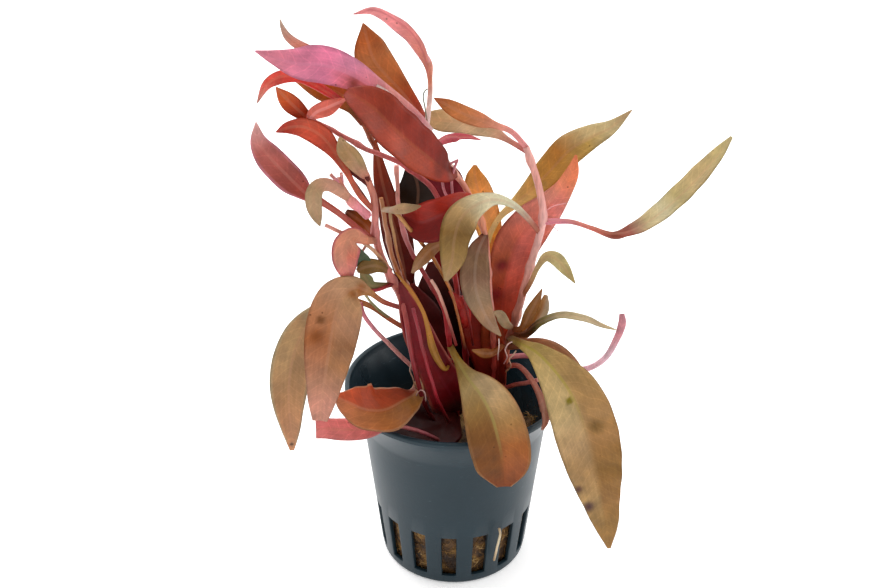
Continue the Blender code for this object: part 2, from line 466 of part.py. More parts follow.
def build_leaf(name, collection):
    """Blade lofted along its midrib: a stalk that widens into two halves folded up from the rib."""
    leaf = LEAVES[name]
    rows = leaf_rows(leaf)
    columns = WIDE_LEAF_COLUMNS if leaf.get("wide") else LEAF_COLUMNS
    fold = math.radians(leaf["fold"])
    points = []
    for i, row in enumerate(rows):
        share = i / (len(rows) - 1)
        place = Vector(row[:3])
        ahead = Vector(rows[min(i + 1, len(rows) - 1)][:3]) - Vector(rows[max(i - 1, 0)][:3])
        ahead.normalize()
        to_eye = (EYE - place).normalized()
        up = (to_eye - ahead * to_eye.dot(ahead)).normalized()
        side = ahead.cross(up)
        turn = math.radians(leaf["turn"][0] + (leaf["turn"][1] - leaf["turn"][0]) * share)
        across = side * math.cos(turn) + up * math.sin(turn)
        above = up * math.cos(turn) - side * math.sin(turn)
        half = max(row[3], LEAF_TIP_WIDTH) / 2
        for column in columns:
            points.append(place + across * column * half * math.cos(fold)
                          + above * abs(column) * half * math.sin(fold))
    wide = len(columns)
    faces = []
    for i in range(len(rows) - 1):
        for j in range(wide - 1):
            corner = i * wide + j
            faces.append((corner, corner + 1, corner + wide + 1, corner + wide))
    mesh = bpy.data.meshes.new(name)
    mesh.from_pydata(points, [], faces)
    mesh.update()
    item = add_object(name, mesh, leaf["colour"], collection)
    shell = item.modifiers.new("thickness", "SOLIDIFY")
    shell.thickness = LEAF_THICKNESS
    shell.offset = 0
    mesh.shade_smooth()


for item in list(bpy.data.objects):
    bpy.data.objects.remove(item, do_unlink=True)

plant = make_collection("alternanthera_reineckii")
cutter_collection = make_collection("cutters")
build_pot(plant, cutter_collection)
build_wool(plant)
for stem_name in STEMS:
    build_stem(stem_name, plant)
for leaf_name in LEAVES:
    build_leaf(leaf_name, plant)
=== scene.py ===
"""Looks of a potted alternanthera reineckii: net pot, rock wool, roots, stems and thin red leaves.

Metres, +Z up, the pot's base centre at the origin, the plant's front towards -Y.
"""

import math

import bmesh
import bpy
import numpy as np
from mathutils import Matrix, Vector


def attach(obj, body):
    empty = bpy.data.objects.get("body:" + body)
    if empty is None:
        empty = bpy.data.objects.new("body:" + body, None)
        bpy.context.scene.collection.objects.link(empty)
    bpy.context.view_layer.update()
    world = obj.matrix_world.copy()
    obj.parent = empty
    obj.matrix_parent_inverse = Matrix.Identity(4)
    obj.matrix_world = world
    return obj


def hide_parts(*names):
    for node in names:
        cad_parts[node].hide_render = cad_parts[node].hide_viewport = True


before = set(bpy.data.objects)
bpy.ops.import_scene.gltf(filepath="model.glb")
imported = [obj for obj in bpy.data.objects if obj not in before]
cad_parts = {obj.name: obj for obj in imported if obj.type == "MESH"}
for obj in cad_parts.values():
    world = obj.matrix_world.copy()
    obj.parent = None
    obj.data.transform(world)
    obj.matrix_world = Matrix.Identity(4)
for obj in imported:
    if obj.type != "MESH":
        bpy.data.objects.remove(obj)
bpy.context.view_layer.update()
MM = 0.001


# Net pot: one thin moulded polypropylene cup, slate blue, with a flared collar, a rounded lip and a
# ring of upright slots near its foot. Outside it is satin; inside it is glossier and darker, the dark
# being painted shade.
POT_HEIGHT = 45.6 * MM
POT_RIM_RADIUS = 25.0 * MM
POT_COLLAR_RADIUS = 21.2 * MM
POT_COLLAR_HEIGHT = 37.5 * MM
POT_BASE_RADIUS = 17.2 * MM
POT_WALL = 1.0 * MM
POT_LIP = 1.7 * MM
POT_LIP_DEPTH = 1.2 * MM
POT_FOOT_ROUND = 1.0 * MM
POT_HEEL_ROUND = 0.8 * MM
SLOT_COUNT = 16
SLOT_WIDTH = 3.4 * MM
SLOT_BOTTOM = 2.7 * MM
SLOT_TOP = 14.8 * MM
SLOT_TURN = math.radians(-94.2)
SLOT_COLUMNS = 5
BAR_COLUMNS = 7
SLOT_EDGE_ROUND = 0.18 * MM
SLOT_EDGE_ANGLE = math.radians(62)
POT_SHARP_ANGLE = math.radians(38)
SLOT_RINGS = (7 * MM, 11 * MM)
OUTER_RINGS = (20 * MM, 27 * MM, 33 * MM, 36.6 * MM)
INNER_RINGS = (30 * MM, 22 * MM)


def srgb(code):
    """Linear colour, with alpha, of an sRGB hex value."""
    parts = [int(code[i:i + 2], 16) / 255 for i in (0, 2, 4)]
    return (*[p / 12.92 if p <= 0.04045 else ((p + 0.055) / 1.055) ** 2.4 for p in parts], 1)


def add_node(tree, kind, inputs=None, **settings):
    """Node with its settings; an input is a value or another node's output socket."""
    node = tree.nodes.new(kind)
    for key, value in settings.items():
        setattr(node, key, value)
    for key, value in (inputs or {}).items():
        if isinstance(value, bpy.types.NodeSocket):
            tree.links.new(value, node.inputs[key])
        else:
            node.inputs[key].default_value = value
    return node


def new_material(name):
    """Material with an empty node tree but for its output."""
    material = bpy.data.materials.new(name)
    material.use_nodes = True
    tree = material.node_tree
    tree.nodes.clear()
    return material, tree, tree.nodes.new("ShaderNodeOutputMaterial")


def wall_radius(height):
    """Outer radius of the pot's wall below its collar."""
    return POT_BASE_RADIUS + (POT_COLLAR_RADIUS - POT_BASE_RADIUS) * height / POT_COLLAR_HEIGHT


def arc(centre, radius, start, end, steps):
    """Points on an arc in the profile plane, angles in degrees."""
    return [(centre[0] + radius * math.cos(math.radians(start + (end - start) * i / steps)),
             centre[1] + radius * math.sin(math.radians(start + (end - start) * i / steps)))
            for i in range(steps + 1)]


def pot_profile():
    """Radius and height round the wall's section, from under the base up to the lip and back inside."""
    foot = arc((POT_BASE_RADIUS - POT_FOOT_ROUND, POT_FOOT_ROUND), POT_FOOT_ROUND, -90, 0, 5)
    outer = [(wall_radius(z), z) for z in (SLOT_BOTTOM, *SLOT_RINGS, SLOT_TOP, *OUTER_RINGS)]
    collar = [(POT_COLLAR_RADIUS + 0.12 * MM, POT_COLLAR_HEIGHT + 0.1 * MM),
              (POT_COLLAR_RADIUS + 1.7 * MM, 41 * MM),
              (POT_RIM_RADIUS - 0.35 * MM, POT_HEIGHT - POT_LIP_DEPTH - 0.35 * MM),
              (POT_RIM_RADIUS - 0.03 * MM, POT_HEIGHT - POT_LIP_DEPTH)]
    round_lip = POT_LIP_DEPTH / 2
    lip = arc((POT_RIM_RADIUS - round_lip, POT_HEIGHT - round_lip), round_lip, 0, 180, 10)
    lip += [(POT_RIM_RADIUS - POT_LIP, POT_HEIGHT - POT_LIP_DEPTH - 0.3 * MM),
            (POT_COLLAR_RADIUS - POT_WALL + 1.9 * MM, 41.3 * MM)]
    inner = [(wall_radius(z) - POT_WALL, z)
             for z in (POT_COLLAR_HEIGHT, *INNER_RINGS, SLOT_TOP, *SLOT_RINGS[::-1], SLOT_BOTTOM)]
    heel = arc((POT_BASE_RADIUS - POT_WALL - POT_HEEL_ROUND, POT_WALL + POT_HEEL_ROUND),
               POT_HEEL_ROUND, 0, -90, 4)
    return foot + outer + collar + lip + inner + heel


def pot_angles():
    """Angles of the wall's columns, so that each slot's two sides fall on a column."""
    half = SLOT_WIDTH / wall_radius(SLOT_TOP * 0.6) / 2
    pitch = math.tau / SLOT_COUNT
    angles = []
    for slot in range(SLOT_COUNT):
        centre = SLOT_TURN + slot * pitch
        angles += [centre - half + 2 * half * i / SLOT_COLUMNS for i in range(SLOT_COLUMNS)]
        angles += [centre + half + (pitch - 2 * half) * i / BAR_COLUMNS for i in range(BAR_COLUMNS)]
    return angles


def build_pot():
    """Wall swept round the profile with the slots left open and their sides closed, ready for their edges
    to be rounded.
    """
    profile = pot_profile()
    angles = pot_angles()
    shell = bmesh.new()
    rings = [[shell.verts.new((radius * math.cos(a), radius * math.sin(a), z)) for a in angles]
             for radius, z in profile]
    count = len(angles)
    open_rows = {i for i in range(len(profile) - 1)
                 if min(profile[i][1], profile[i + 1][1]) > SLOT_BOTTOM - 0.1 * MM
                 and max(profile[i][1], profile[i + 1][1]) < SLOT_TOP + 0.1 * MM}
    period = SLOT_COLUMNS + BAR_COLUMNS
    for i in range(len(profile) - 1):
        for j in range(count):
            if i in open_rows and j % period < SLOT_COLUMNS:
                continue
            k = (j + 1) % count
            shell.faces.new((rings[i][j], rings[i][k], rings[i + 1][k], rings[i + 1][j]))
    outside = sorted(i for i in open_rows if i < len(profile) / 2)
    inside = sorted((i for i in open_rows if i > len(profile) / 2), reverse=True)
    sill = rings[outside[0]], rings[inside[0] + 1]
    head = rings[outside[-1] + 1], rings[inside[-1]]
    for slot in range(SLOT_COUNT):
        first = slot * period
        for j in range(first, first + SLOT_COLUMNS):
            shell.faces.new((sill[0][j], sill[0][j + 1], sill[1][j + 1], sill[1][j]))
            shell.faces.new((head[0][j + 1], head[0][j], head[1][j], head[1][j + 1]))
        for j in (first, first + SLOT_COLUMNS):
            for out_row, in_row in zip(outside, inside):
                corners = [rings[out_row][j], rings[out_row + 1][j], rings[in_row][j],
                           rings[in_row + 1][j]]
                shell.faces.new(corners if j == first else corners[::-1])
    for ring, height in ((rings[0], 0), (rings[-1], POT_WALL)):
        pole = shell.verts.new((0, 0, height))
        for j in range(count):
            shell.faces.new((ring[j], ring[(j + 1) % count], pole))
    bmesh.ops.recalc_face_normals(shell, faces=shell.faces)
    mesh = bpy.data.meshes.new("net_pot")
    shell.to_mesh(mesh)
    shell.free()
    return mesh


def apply_modifiers(item):
    """Turns an object's evaluated shape into its own plain mesh."""
    bpy.context.view_layer.update()
    solid = bpy.data.meshes.new_from_object(item.evaluated_get(bpy.context.evaluated_depsgraph_get()))
    item.modifiers.clear()
    old = item.data
    if item.type == "MESH":
        item.data = solid
        return item
    name = item.name
    bpy.data.objects.remove(item)
    made = bpy.data.objects.new(name, solid)
    bpy.context.scene.collection.objects.link(made)
    bpy.data.curves.remove(old)
    return made


def pot_plastic(name, base, cloud, roughness, scratch):
    """Moulded polypropylene: an even satin skin with soft clouding, fine scratches and dark specks."""
    material, tree, output = new_material(name)
    place = add_node(tree, "ShaderNodeTexCoord").outputs["Object"]
    clouds = add_node(tree, "ShaderNodeTexNoise", {"Vector": place, "Scale": 90, "Detail": 3})
    shade = add_node(tree, "ShaderNodeMix", {"Factor": clouds.outputs["Fac"], 6: srgb(base),
                                             7: srgb(cloud)}, data_type="RGBA")
    # Handling scratches, about 0.2 mm wide and 3 mm long, run round the wall
    stretched = add_node(tree, "ShaderNodeMapping", {"Vector": place, "Scale": (300, 300, 2600)})
    lines = add_node(tree, "ShaderNodeTexNoise", {"Vector": stretched.outputs[0], "Scale": 1,
                                                  "Detail": 2, "Distortion": 1.2})
    scratched = add_node(tree, "ShaderNodeMapRange", {"Value": lines.outputs["Fac"], "From Min": 0.68,
                                                      "From Max": 0.8, "To Max": scratch})
    pale = add_node(tree, "ShaderNodeMix", {"Factor": scratched.outputs[0], 6: shade.outputs[2],
                                            7: srgb("6E8894")}, data_type="RGBA")
    # Specks of wool dust, under half a millimetre across
    specks = add_node(tree, "ShaderNodeTexVoronoi", {"Vector": place, "Scale": 330})
    dust = add_node(tree, "ShaderNodeMapRange", {"Value": specks.outputs["Distance"],
                                                 "From Min": 0.06, "From Max": 0.1, "To Min": 0.75,
                                                 "To Max": 0})
    where = add_node(tree, "ShaderNodeTexNoise", {"Vector": place, "Scale": 160, "Detail": 1})
    few = add_node(tree, "ShaderNodeMapRange", {"Value": where.outputs["Fac"], "From Min": 0.62,
                                                "From Max": 0.66})
    dots = add_node(tree, "ShaderNodeMath", {0: dust.outputs[0], 1: few.outputs[0]},
                    operation="MULTIPLY")
    colour = add_node(tree, "ShaderNodeMix", {"Factor": dots.outputs[0], 6: pale.outputs[2],
                                              7: srgb("1B1712")}, data_type="RGBA")
    rough = add_node(tree, "ShaderNodeMapRange", {"Value": clouds.outputs["Fac"],
                                                  "To Min": roughness - 0.06,
                                                  "To Max": roughness + 0.08})
    # The mould's own texture, a grain of about 0.3 mm, barely raised
    grain = add_node(tree, "ShaderNodeTexNoise", {"Vector": place, "Scale": 1400, "Detail": 2})
    bump = add_node(tree, "ShaderNodeBump", {"Height": grain.outputs["Fac"], "Strength": 0.12,
                                             "Distance": 0.00012})
    shader = add_node(tree, "ShaderNodeBsdfPrincipled", {
        "Base Color": colour.outputs[2], "Roughness": rough.outputs[0], "IOR": 1.33,
        "Normal": bump.outputs[0]})
    tree.links.new(shader.outputs[0], output.inputs[0])
    return material


def finish_piece(item, slot, *nodes):
    """Rides a finished piece on the plant's one body, in place of its CAD nodes."""
    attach(item, "root")
    if nodes:
        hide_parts(*nodes)


pot = bpy.data.objects.new("net_pot", build_pot())
bpy.context.scene.collection.objects.link(pot)
rounding = pot.modifiers.new("slot_edges", "BEVEL")
rounding.width = SLOT_EDGE_ROUND
rounding.segments = 2
rounding.limit_method = "ANGLE"
rounding.angle_limit = SLOT_EDGE_ANGLE
apply_modifiers(pot)
pot.data.materials.clear()
pot.data.materials.append(pot_plastic("moulded_polypropylene", "11222A", "192D36", 0.38, 0.15))
# The inner copy of the same plastic is darker: painted shade for the inside of the cup, with more scuffs
# and more gloss.
pot.data.materials.append(pot_plastic("wet_polypropylene", "0E1A20", "24363F", 0.28, 0.6))
# Faces looking inwards below the lip take the darker inner copy: painted shade.
for face in pot.data.polygons:
    centre = face.center
    inward = face.normal.x * centre.x + face.normal.y * centre.y < 0
    if inward and centre.z < POT_HEIGHT - POT_LIP_DEPTH and math.hypot(centre.x, centre.y) > 1 * MM:
        face.material_index = 1
pot.data.shade_smooth()
pot.data.set_sharp_from_angle(angle=POT_SHARP_ANGLE)
finish_piece(pot, "slate_plastic", "pot")


# Rock wool plug: spun mineral fibre pressed into the pot, soaked and stained brown. A lumpy body
# carries several thousand loose fibres; a tuft climbs the wall at the right front.
WOOL_HEIGHT = 29.4 * MM
WOOL_LUMP = 1.1 * MM
WOOL_TUFT_RISE = 9.0 * MM
WOOL_TUFT_PLACE = (16.5 * MM, -3.0 * MM)
WOOL_TUFT_REACH = 5.5 * MM
WOOL_COLUMNS = 120
WOOL_SIDE_ROWS = 26
WOOL_TOP_ROWS = 22
WOOL_SHOULDER = 1.5 * MM
WOOL_SIDE_GAP = 0.75 * MM
WOOL_TOP_GAP = 1.2 * MM
WOOL_WALL_GAP = 0.1 * MM
FIBRE_LENGTH = 3.4 * MM
FIBRE_RADIUS = 0.075 * MM
FIBRES_PER_SQUARE_MM = 0.62


def wool_mesh():
    """Closed plug that fills the pot, its top raised in one tuft."""
    bottom = POT_WALL + 0.3 * MM
    heights = np.linspace(bottom, WOOL_HEIGHT - WOOL_SHOULDER, WOOL_SIDE_ROWS)
    rows = [(wall_radius(z) - POT_WALL - WOOL_SIDE_GAP, z) for z in heights]
    edge = wall_radius(WOOL_HEIGHT) - POT_WALL - WOOL_TOP_GAP
    rows += [(edge * share, WOOL_HEIGHT) for share in np.linspace(1, 0.04, WOOL_TOP_ROWS)]
    plug = bmesh.new()
    rings = []
    for radius, z in rows:
        ring = []
        for i in range(WOOL_COLUMNS):
            angle = math.tau * i / WOOL_COLUMNS
            x, y = radius * math.cos(angle), radius * math.sin(angle)
            away = math.hypot(x - WOOL_TUFT_PLACE[0], y - WOOL_TUFT_PLACE[1]) / WOOL_TUFT_REACH
            lift = (WOOL_TUFT_RISE - WOOL_SHOULDER) * math.exp(-away ** 2) if z == WOOL_HEIGHT else 0
            ring.append(plug.verts.new((x, y, z + lift)))
        rings.append(ring)
    for low, high in zip(rings, rings[1:]):
        for i in range(WOOL_COLUMNS):
            k = (i + 1) % WOOL_COLUMNS
            plug.faces.new((low[i], low[k], high[k], high[i]))
    plug.faces.new(rings[0][::-1])
    plug.faces.new(rings[-1])
    mesh = bpy.data.meshes.new("wool")
    plug.to_mesh(mesh)
    plug.free()
    return mesh


def geometry_tree(name, **sockets):
    """Geometry Nodes tree with a geometry in and out and the named inputs."""
    tree = bpy.data.node_groups.new(name, "GeometryNodeTree")
    tree.interface.new_socket(name="Geometry", in_out="INPUT", socket_type="NodeSocketGeometry")
    for key, kind in sockets.items():
        tree.interface.new_socket(name=key.replace("_", " "), in_out="INPUT",
                                  socket_type="NodeSocket" + kind)
    tree.interface.new_socket(name="Geometry", in_out="OUTPUT", socket_type="NodeSocketGeometry")
    return tree, tree.nodes.new("NodeGroupInput").outputs, tree.nodes.new("NodeGroupOutput")


def grow(item, tree, **values):
    """Runs a tree on an object with its inputs set, and leaves the result as a plain mesh."""
    modifier = item.modifiers.new(tree.name, "NODES")
    modifier.node_group = tree
    for socket in tree.interface.items_tree:
        key = socket.name.replace(" ", "_")
        if key in values:
            modifier[socket.identifier] = values[key]
    return apply_modifiers(item)


def wander_offset(tree, size, scale):
    """Offset of a smooth random walk in space, of about a size, at a noise scale."""
    noise = add_node(tree, "ShaderNodeTexNoise", {"Scale": scale, "Detail": 2})
    centred = add_node(tree, "ShaderNodeVectorMath", {0: noise.outputs["Color"],
                                                      1: (0.5, 0.5, 0.5)}, operation="SUBTRACT")
    return add_node(tree, "ShaderNodeVectorMath", {0: centred.outputs[0], "Scale": size},
                    operation="SCALE").outputs[0]


def wool_tree():
    """Body pushed into lumps, plus curled fibres scattered over its faces."""
    tree, given, output = geometry_tree("wool", Lump="Float", Density="Float", Length="Float",
                                        Radius="Float", Seed="Int", Body="Material",
                                        Fibre="Material")
    body = add_node(tree, "GeometryNodeSetPosition", {
        "Geometry": given["Geometry"], "Offset": wander_offset(tree, given["Lump"], 420)})
    points = add_node(tree, "GeometryNodeDistributePointsOnFaces", {
        "Mesh": body.outputs[0], "Density": given["Density"], "Seed": given["Seed"]})
    half = add_node(tree, "ShaderNodeMath", {0: given["Length"], 1: 0.5}, operation="MULTIPLY")
    back = add_node(tree, "ShaderNodeMath", {0: half.outputs[0], 1: -1.0}, operation="MULTIPLY")
    start = add_node(tree, "ShaderNodeCombineXYZ", {"X": back.outputs[0]})
    end = add_node(tree, "ShaderNodeCombineXYZ", {"X": half.outputs[0]})
    bow = add_node(tree, "ShaderNodeCombineXYZ", {"Y": half.outputs[0]})
    strand = add_node(tree, "GeometryNodeCurveQuadraticBezier", {
        "Resolution": 7, "Start": start.outputs[0], "Middle": bow.outputs[0],
        "End": end.outputs[0]})
    turn = add_node(tree, "FunctionNodeRandomValue", {0: (-0.5, -0.5, 0), 1: (0.5, 0.5, 6.28),
                                                      "Seed": given["Seed"]},
                    data_type="FLOAT_VECTOR")
    lean = add_node(tree, "FunctionNodeEulerToRotation", {0: turn.outputs[0]})
    laid = add_node(tree, "FunctionNodeRotateRotation", {"Rotation": points.outputs["Rotation"],
                                                         "Rotate By": lean.outputs[0]},
                    rotation_space="LOCAL")
    size = add_node(tree, "FunctionNodeRandomValue", {2: 0.5, 3: 1.6, "Seed": given["Seed"]},
                    data_type="FLOAT")
    fibres = add_node(tree, "GeometryNodeInstanceOnPoints", {
        "Points": points.outputs[0], "Instance": strand.outputs[0], "Rotation": laid.outputs[0],
        "Scale": size.outputs[1]})
    real = add_node(tree, "GeometryNodeRealizeInstances", {"Geometry": fibres.outputs[0]})
    curled = add_node(tree, "GeometryNodeSetPosition", {
        "Geometry": real.outputs[0], "Offset": wander_offset(tree, given["Length"], 260)})
    profile = add_node(tree, "GeometryNodeCurvePrimitiveCircle", {"Resolution": 3, "Radius": 1})
    skin = add_node(tree, "GeometryNodeCurveToMesh", {
        "Curve": curled.outputs[0], "Profile Curve": profile.outputs[0],
        "Scale": given["Radius"], "Fill Caps": True})
    dyed = add_node(tree, "GeometryNodeSetMaterial", {"Geometry": skin.outputs[0],
                                                      "Material": given["Fibre"]})
    core = add_node(tree, "GeometryNodeSetMaterial", {"Geometry": body.outputs[0],
                                                      "Material": given["Body"]})
    both = add_node(tree, "GeometryNodeJoinGeometry", {"Geometry": dyed.outputs[0]})
    tree.links.new(core.outputs[0], both.inputs[0])
    soft = add_node(tree, "GeometryNodeSetShadeSmooth", {"Geometry": both.outputs[0]})
    whole = add_node(tree, "GeometryNodeRealizeInstances", {"Geometry": soft.outputs[0]})
    tree.links.new(whole.outputs[0], output.inputs[0])
    return tree


def fibre_material(name, dark, light, fleck):
    """Wet mineral fibre: dull, stained in blotches a few millimetres across."""
    material, tree, output = new_material(name)
    place = add_node(tree, "ShaderNodeTexCoord").outputs["Object"]
    stain = add_node(tree, "ShaderNodeTexNoise", {"Vector": place, "Scale": 330, "Detail": 4})
    ramp = add_node(tree, "ShaderNodeValToRGB", {"Fac": stain.outputs["Fac"]})
    ramp.color_ramp.elements[0].position = 0.36
    ramp.color_ramp.elements[0].color = srgb(dark)
    ramp.color_ramp.elements[1].position = 0.68
    ramp.color_ramp.elements[1].color = srgb(fleck)
    ramp.color_ramp.elements.new(0.52).color = srgb(light)
    grain = add_node(tree, "ShaderNodeTexNoise", {"Vector": place, "Scale": 2400, "Detail": 3})
    bump = add_node(tree, "ShaderNodeBump", {"Height": grain.outputs["Fac"], "Strength": 0.7,
                                             "Distance": 0.0003})
    shader = add_node(tree, "ShaderNodeBsdfPrincipled", {
        "Base Color": ramp.outputs[0], "Roughness": 0.75, "Normal": bump.outputs[0]})
    tree.links.new(shader.outputs[0], output.inputs[0])
    return material


def keep_inside_pot(mesh):
    """Presses whatever reaches past the pot's inner wall back against it."""
    places = np.empty(len(mesh.vertices) * 3, np.float32)
    mesh.vertices.foreach_get("co", places)
    places = places.reshape(-1, 3)
    reach = np.hypot(places[:, 0], places[:, 1])
    limit = wall_radius(places[:, 2]) - POT_WALL - WOOL_WALL_GAP
    inside = places[:, 2] < POT_COLLAR_HEIGHT
    factor = np.where(inside & (reach > limit), limit / np.maximum(reach, MM), 1)
    places[:, :2] *= factor[:, None]
    places[:, 2] = np.maximum(places[:, 2], POT_WALL + WOOL_WALL_GAP)
    mesh.vertices.foreach_set("co", places.ravel())
    mesh.update()


wool = bpy.data.objects.new("rock_wool_plug", wool_mesh())
bpy.context.scene.collection.objects.link(wool)
grow(wool, wool_tree(), Lump=WOOL_LUMP, Density=FIBRES_PER_SQUARE_MM / MM ** 2,
     Length=FIBRE_LENGTH, Radius=FIBRE_RADIUS, Seed=5,
     Body=fibre_material("wet_rock_wool", "2A1808", "5A3C18", "8A6428"),
     Fibre=fibre_material("rock_wool_fibre", "4A2E12", "8A6430", "C2A068"))
keep_inside_pot(wool.data)
finish_piece(wool, "rock_wool", "rock_wool")


# Stems: nine soft, fleshy, ribbed shoots about 1.5 mm thick, wine red in the crown and salmon pink
# above, swollen at the joints where leaves sit. Each is a tube swept along its route.
PICTURE_CENTRE = (440, 294)
PICTURE_FOCAL = 1100
EYE_PITCH = math.radians(28.43)
EYE_DISTANCE = 239.6 * MM
EYE_AIM = Vector((-3.34 * MM, 0, 67.62 * MM))
EYE_FORWARD = Vector((0, math.cos(EYE_PITCH), -math.sin(EYE_PITCH)))
EYE_RIGHT = Vector((1, 0, 0))
EYE_UP = EYE_RIGHT.cross(EYE_FORWARD)
EYE = EYE_AIM - EYE_FORWARD * EYE_DISTANCE
STEM_STEP = 0.5 * MM
STEM_TAPER = 0.3
JOINT_SPACING = 13.0 * MM
JOINT_LENGTH = 1.3 * MM
JOINT_SWELL = 0.35
SKIN_SHINE = 0.02
CURVE_STEPS = 24
STEM_SIDES = 14
STEM_RIB_DEPTH = 0.13
STEM_WANDER = 0.5 * MM

# Radius in mm, the slot of its finish, colours from wool to tip, then (pixel across, pixel down,
# depth in mm behind the pot's axis) as the eye above sees the route
STEMS = {
    "stem_left": (0.99, "coral",
        "6A141C 7A1820 8A2028 A03438 B04C48 C06C60 C47C70 C87C70 C87870 C07060 C87C78 C88070 C88068", [
        (437, 421, 5), (431, 398, 3), (421, 365, 0), (412, 333, -3), (406, 312, -5), (399, 292, -7),
        (390, 276, -9), (382, 259, -10), (377, 244, -11), (375, 229, -12), (375, 213, -13),
        (374, 198, -13),
        (370, 186, -13), (363, 172, -13)]),
    "stem_left_second": (0.66, "coral", "6A141C 7A1820 8A2028 9A3030 A84038 B86848 B87850 C08868 B88058", [
        (446, 414, 9), (440, 390, 8), (435, 360, 6), (430, 328, 3), (422, 307, 1), (411, 292, -1),
        (401, 277, -3), (393, 259, -5), (388, 236, -6), (384, 216, -7), (381, 198, -7)]),
    "stem_centre": (0.77, "pink",
        "7A1820 8A2028 9A3434 B04A40 C06858 C88070 C88070 C88070 D08868 D88C78 E0B0A0 E4C4B8", [
        (487, 418, 4), (492, 390, 1), (494, 360, -1), (493, 330, -3), (490, 300, -4),
        (488, 270, -5),
        (486, 240, -6), (480, 217, -7), (472, 200, -8), (461, 181, -8), (450, 166, -8),
        (441, 152, -8),
        (433, 138, -8), (427, 126, -8)]),
    "stem_right": (0.99, "pink",
        "7A2820 A04838 B05C48 B46C58 C08070 D49484 DCA498 E4B0A8 DCA49C D8988C D8A098", [
        (501, 411, 6), (502, 385, 4), (504, 360, 3), (508, 340, 2), (514, 325, 1), (521, 300, 0),
        (528, 275, -1), (535, 250, -2), (541, 230, -3), (543, 212, -4), (541, 196, -4),
        (536, 178, -4),
        (530, 160, -4), (526, 147, -4)]),
    "stem_middle": (0.61, "pink",
        "6A141C 7A1820 8A1C28 A02830 B83840 B03840 8A2020 8A2020 C88080 D8988C D8988C", [
        (458, 424, 2), (456, 390, -2), (450, 345, -6), (447, 325, -7), (443, 307, -8),
        (432, 287, -9),
        (422, 270, -9), (410, 250, -8), (402, 225, -6), (398, 199, -4), (397, 180, -3),
        (396, 165, -3)]),
    "stem_diagonal": (0.66, "coral",
        "6A141C 7A1820 8A2028 9A2C2C A83838 A83838 A84040 B05050 B85C58 C07068 C87870", [
        (471, 417, 6), (469, 390, 4), (466, 360, 2), (462, 325, 0), (457, 290, -1), (452, 260, -2),
        (447, 235, -3), (443, 212, -4), (436, 195, -5), (428, 184, -6), (415, 173, -7),
        (402, 164, -8),
        (390, 158, -8), (377, 153, -9), (364, 148, -11), (348, 139, -13), (330, 129, -14),
        (314, 122, -15),
        (303, 118, -15)]),
    # stem_back_left: its dark lower and middle colours are partly painted shade, where it lies in shadow
    # behind the crown.
    "stem_back_left": (0.66, "coral", "5A1814 6A1C18 7A2820 8A3A24 8A4828 9A5838", [
        (436, 396, 13), (430, 370, 13), (420, 320, 12), (410, 270, 10), (400, 225, 7),
        (388, 183, 3),
        (376, 150, 0), (362, 122, -2), (345, 102, -4)]),
    "stem_back": (0.77, "coral", "5A1814 6A1C18 7A2820 8A3A24", [
        (476, 396, 14), (478, 370, 15), (482, 330, 15), (486, 290, 13), (491, 262, 10)]),
    "stem_left_branch": (0.94, "pink", "D88890 D88890 D88878 D08878", [
        (367, 216, -14.5), (360, 209, -16), (351, 201, -17), (343, 190, -18), (337, 178, -18)]),
}


def seen(pixel_x, pixel_y, depth):
    """Point at a depth in mm behind the pot's axis that the eye sees at a pixel."""
    across = (pixel_x - PICTURE_CENTRE[0]) / PICTURE_FOCAL
    rise = (PICTURE_CENTRE[1] - pixel_y) / PICTURE_FOCAL
    ray = EYE_FORWARD + EYE_RIGHT * across + EYE_UP * rise
    return EYE + ray * ((depth * MM - EYE.y) / ray.y)


def smooth(rows, step):
    """Samples a step apart on the Catmull-Rom curve through the rows; they start with a place."""
    rows = np.array(rows, dtype=float)
    padded = np.vstack([2 * rows[0] - rows[1], rows, 2 * rows[-1] - rows[-2]])
    fine = []
    for a, b, c, d in zip(padded, padded[1:], padded[2:], padded[3:]):
        for t in np.linspace(0, 1, CURVE_STEPS, endpoint=False):
            fine.append(0.5 * (2 * b + (c - a) * t + (2 * a - 5 * b + 4 * c - d) * t ** 2
                               + (3 * b - a - 3 * c + d) * t ** 3))
    fine = np.array(fine + [rows[-1]])
    steps = np.linalg.norm(np.diff(fine[:, :3], axis=0), axis=1)
    length = np.concatenate([[0], np.cumsum(steps)])
    wanted = np.linspace(0, length[-1], max(6, int(length[-1] / step)))
    return np.stack([np.interp(wanted, length, column) for column in fine.T], axis=1)


def stem_axis(name):
    """Places and radii along a stem, from inside the wool to its tip."""
    radius, slot, tint, route = STEMS[name]
    last = len(route) - 1
    rows = [(*seen(*point), radius * MM * (1 - STEM_TAPER * i / last))
            for i, point in enumerate(route)]
    return smooth(rows, STEM_STEP)


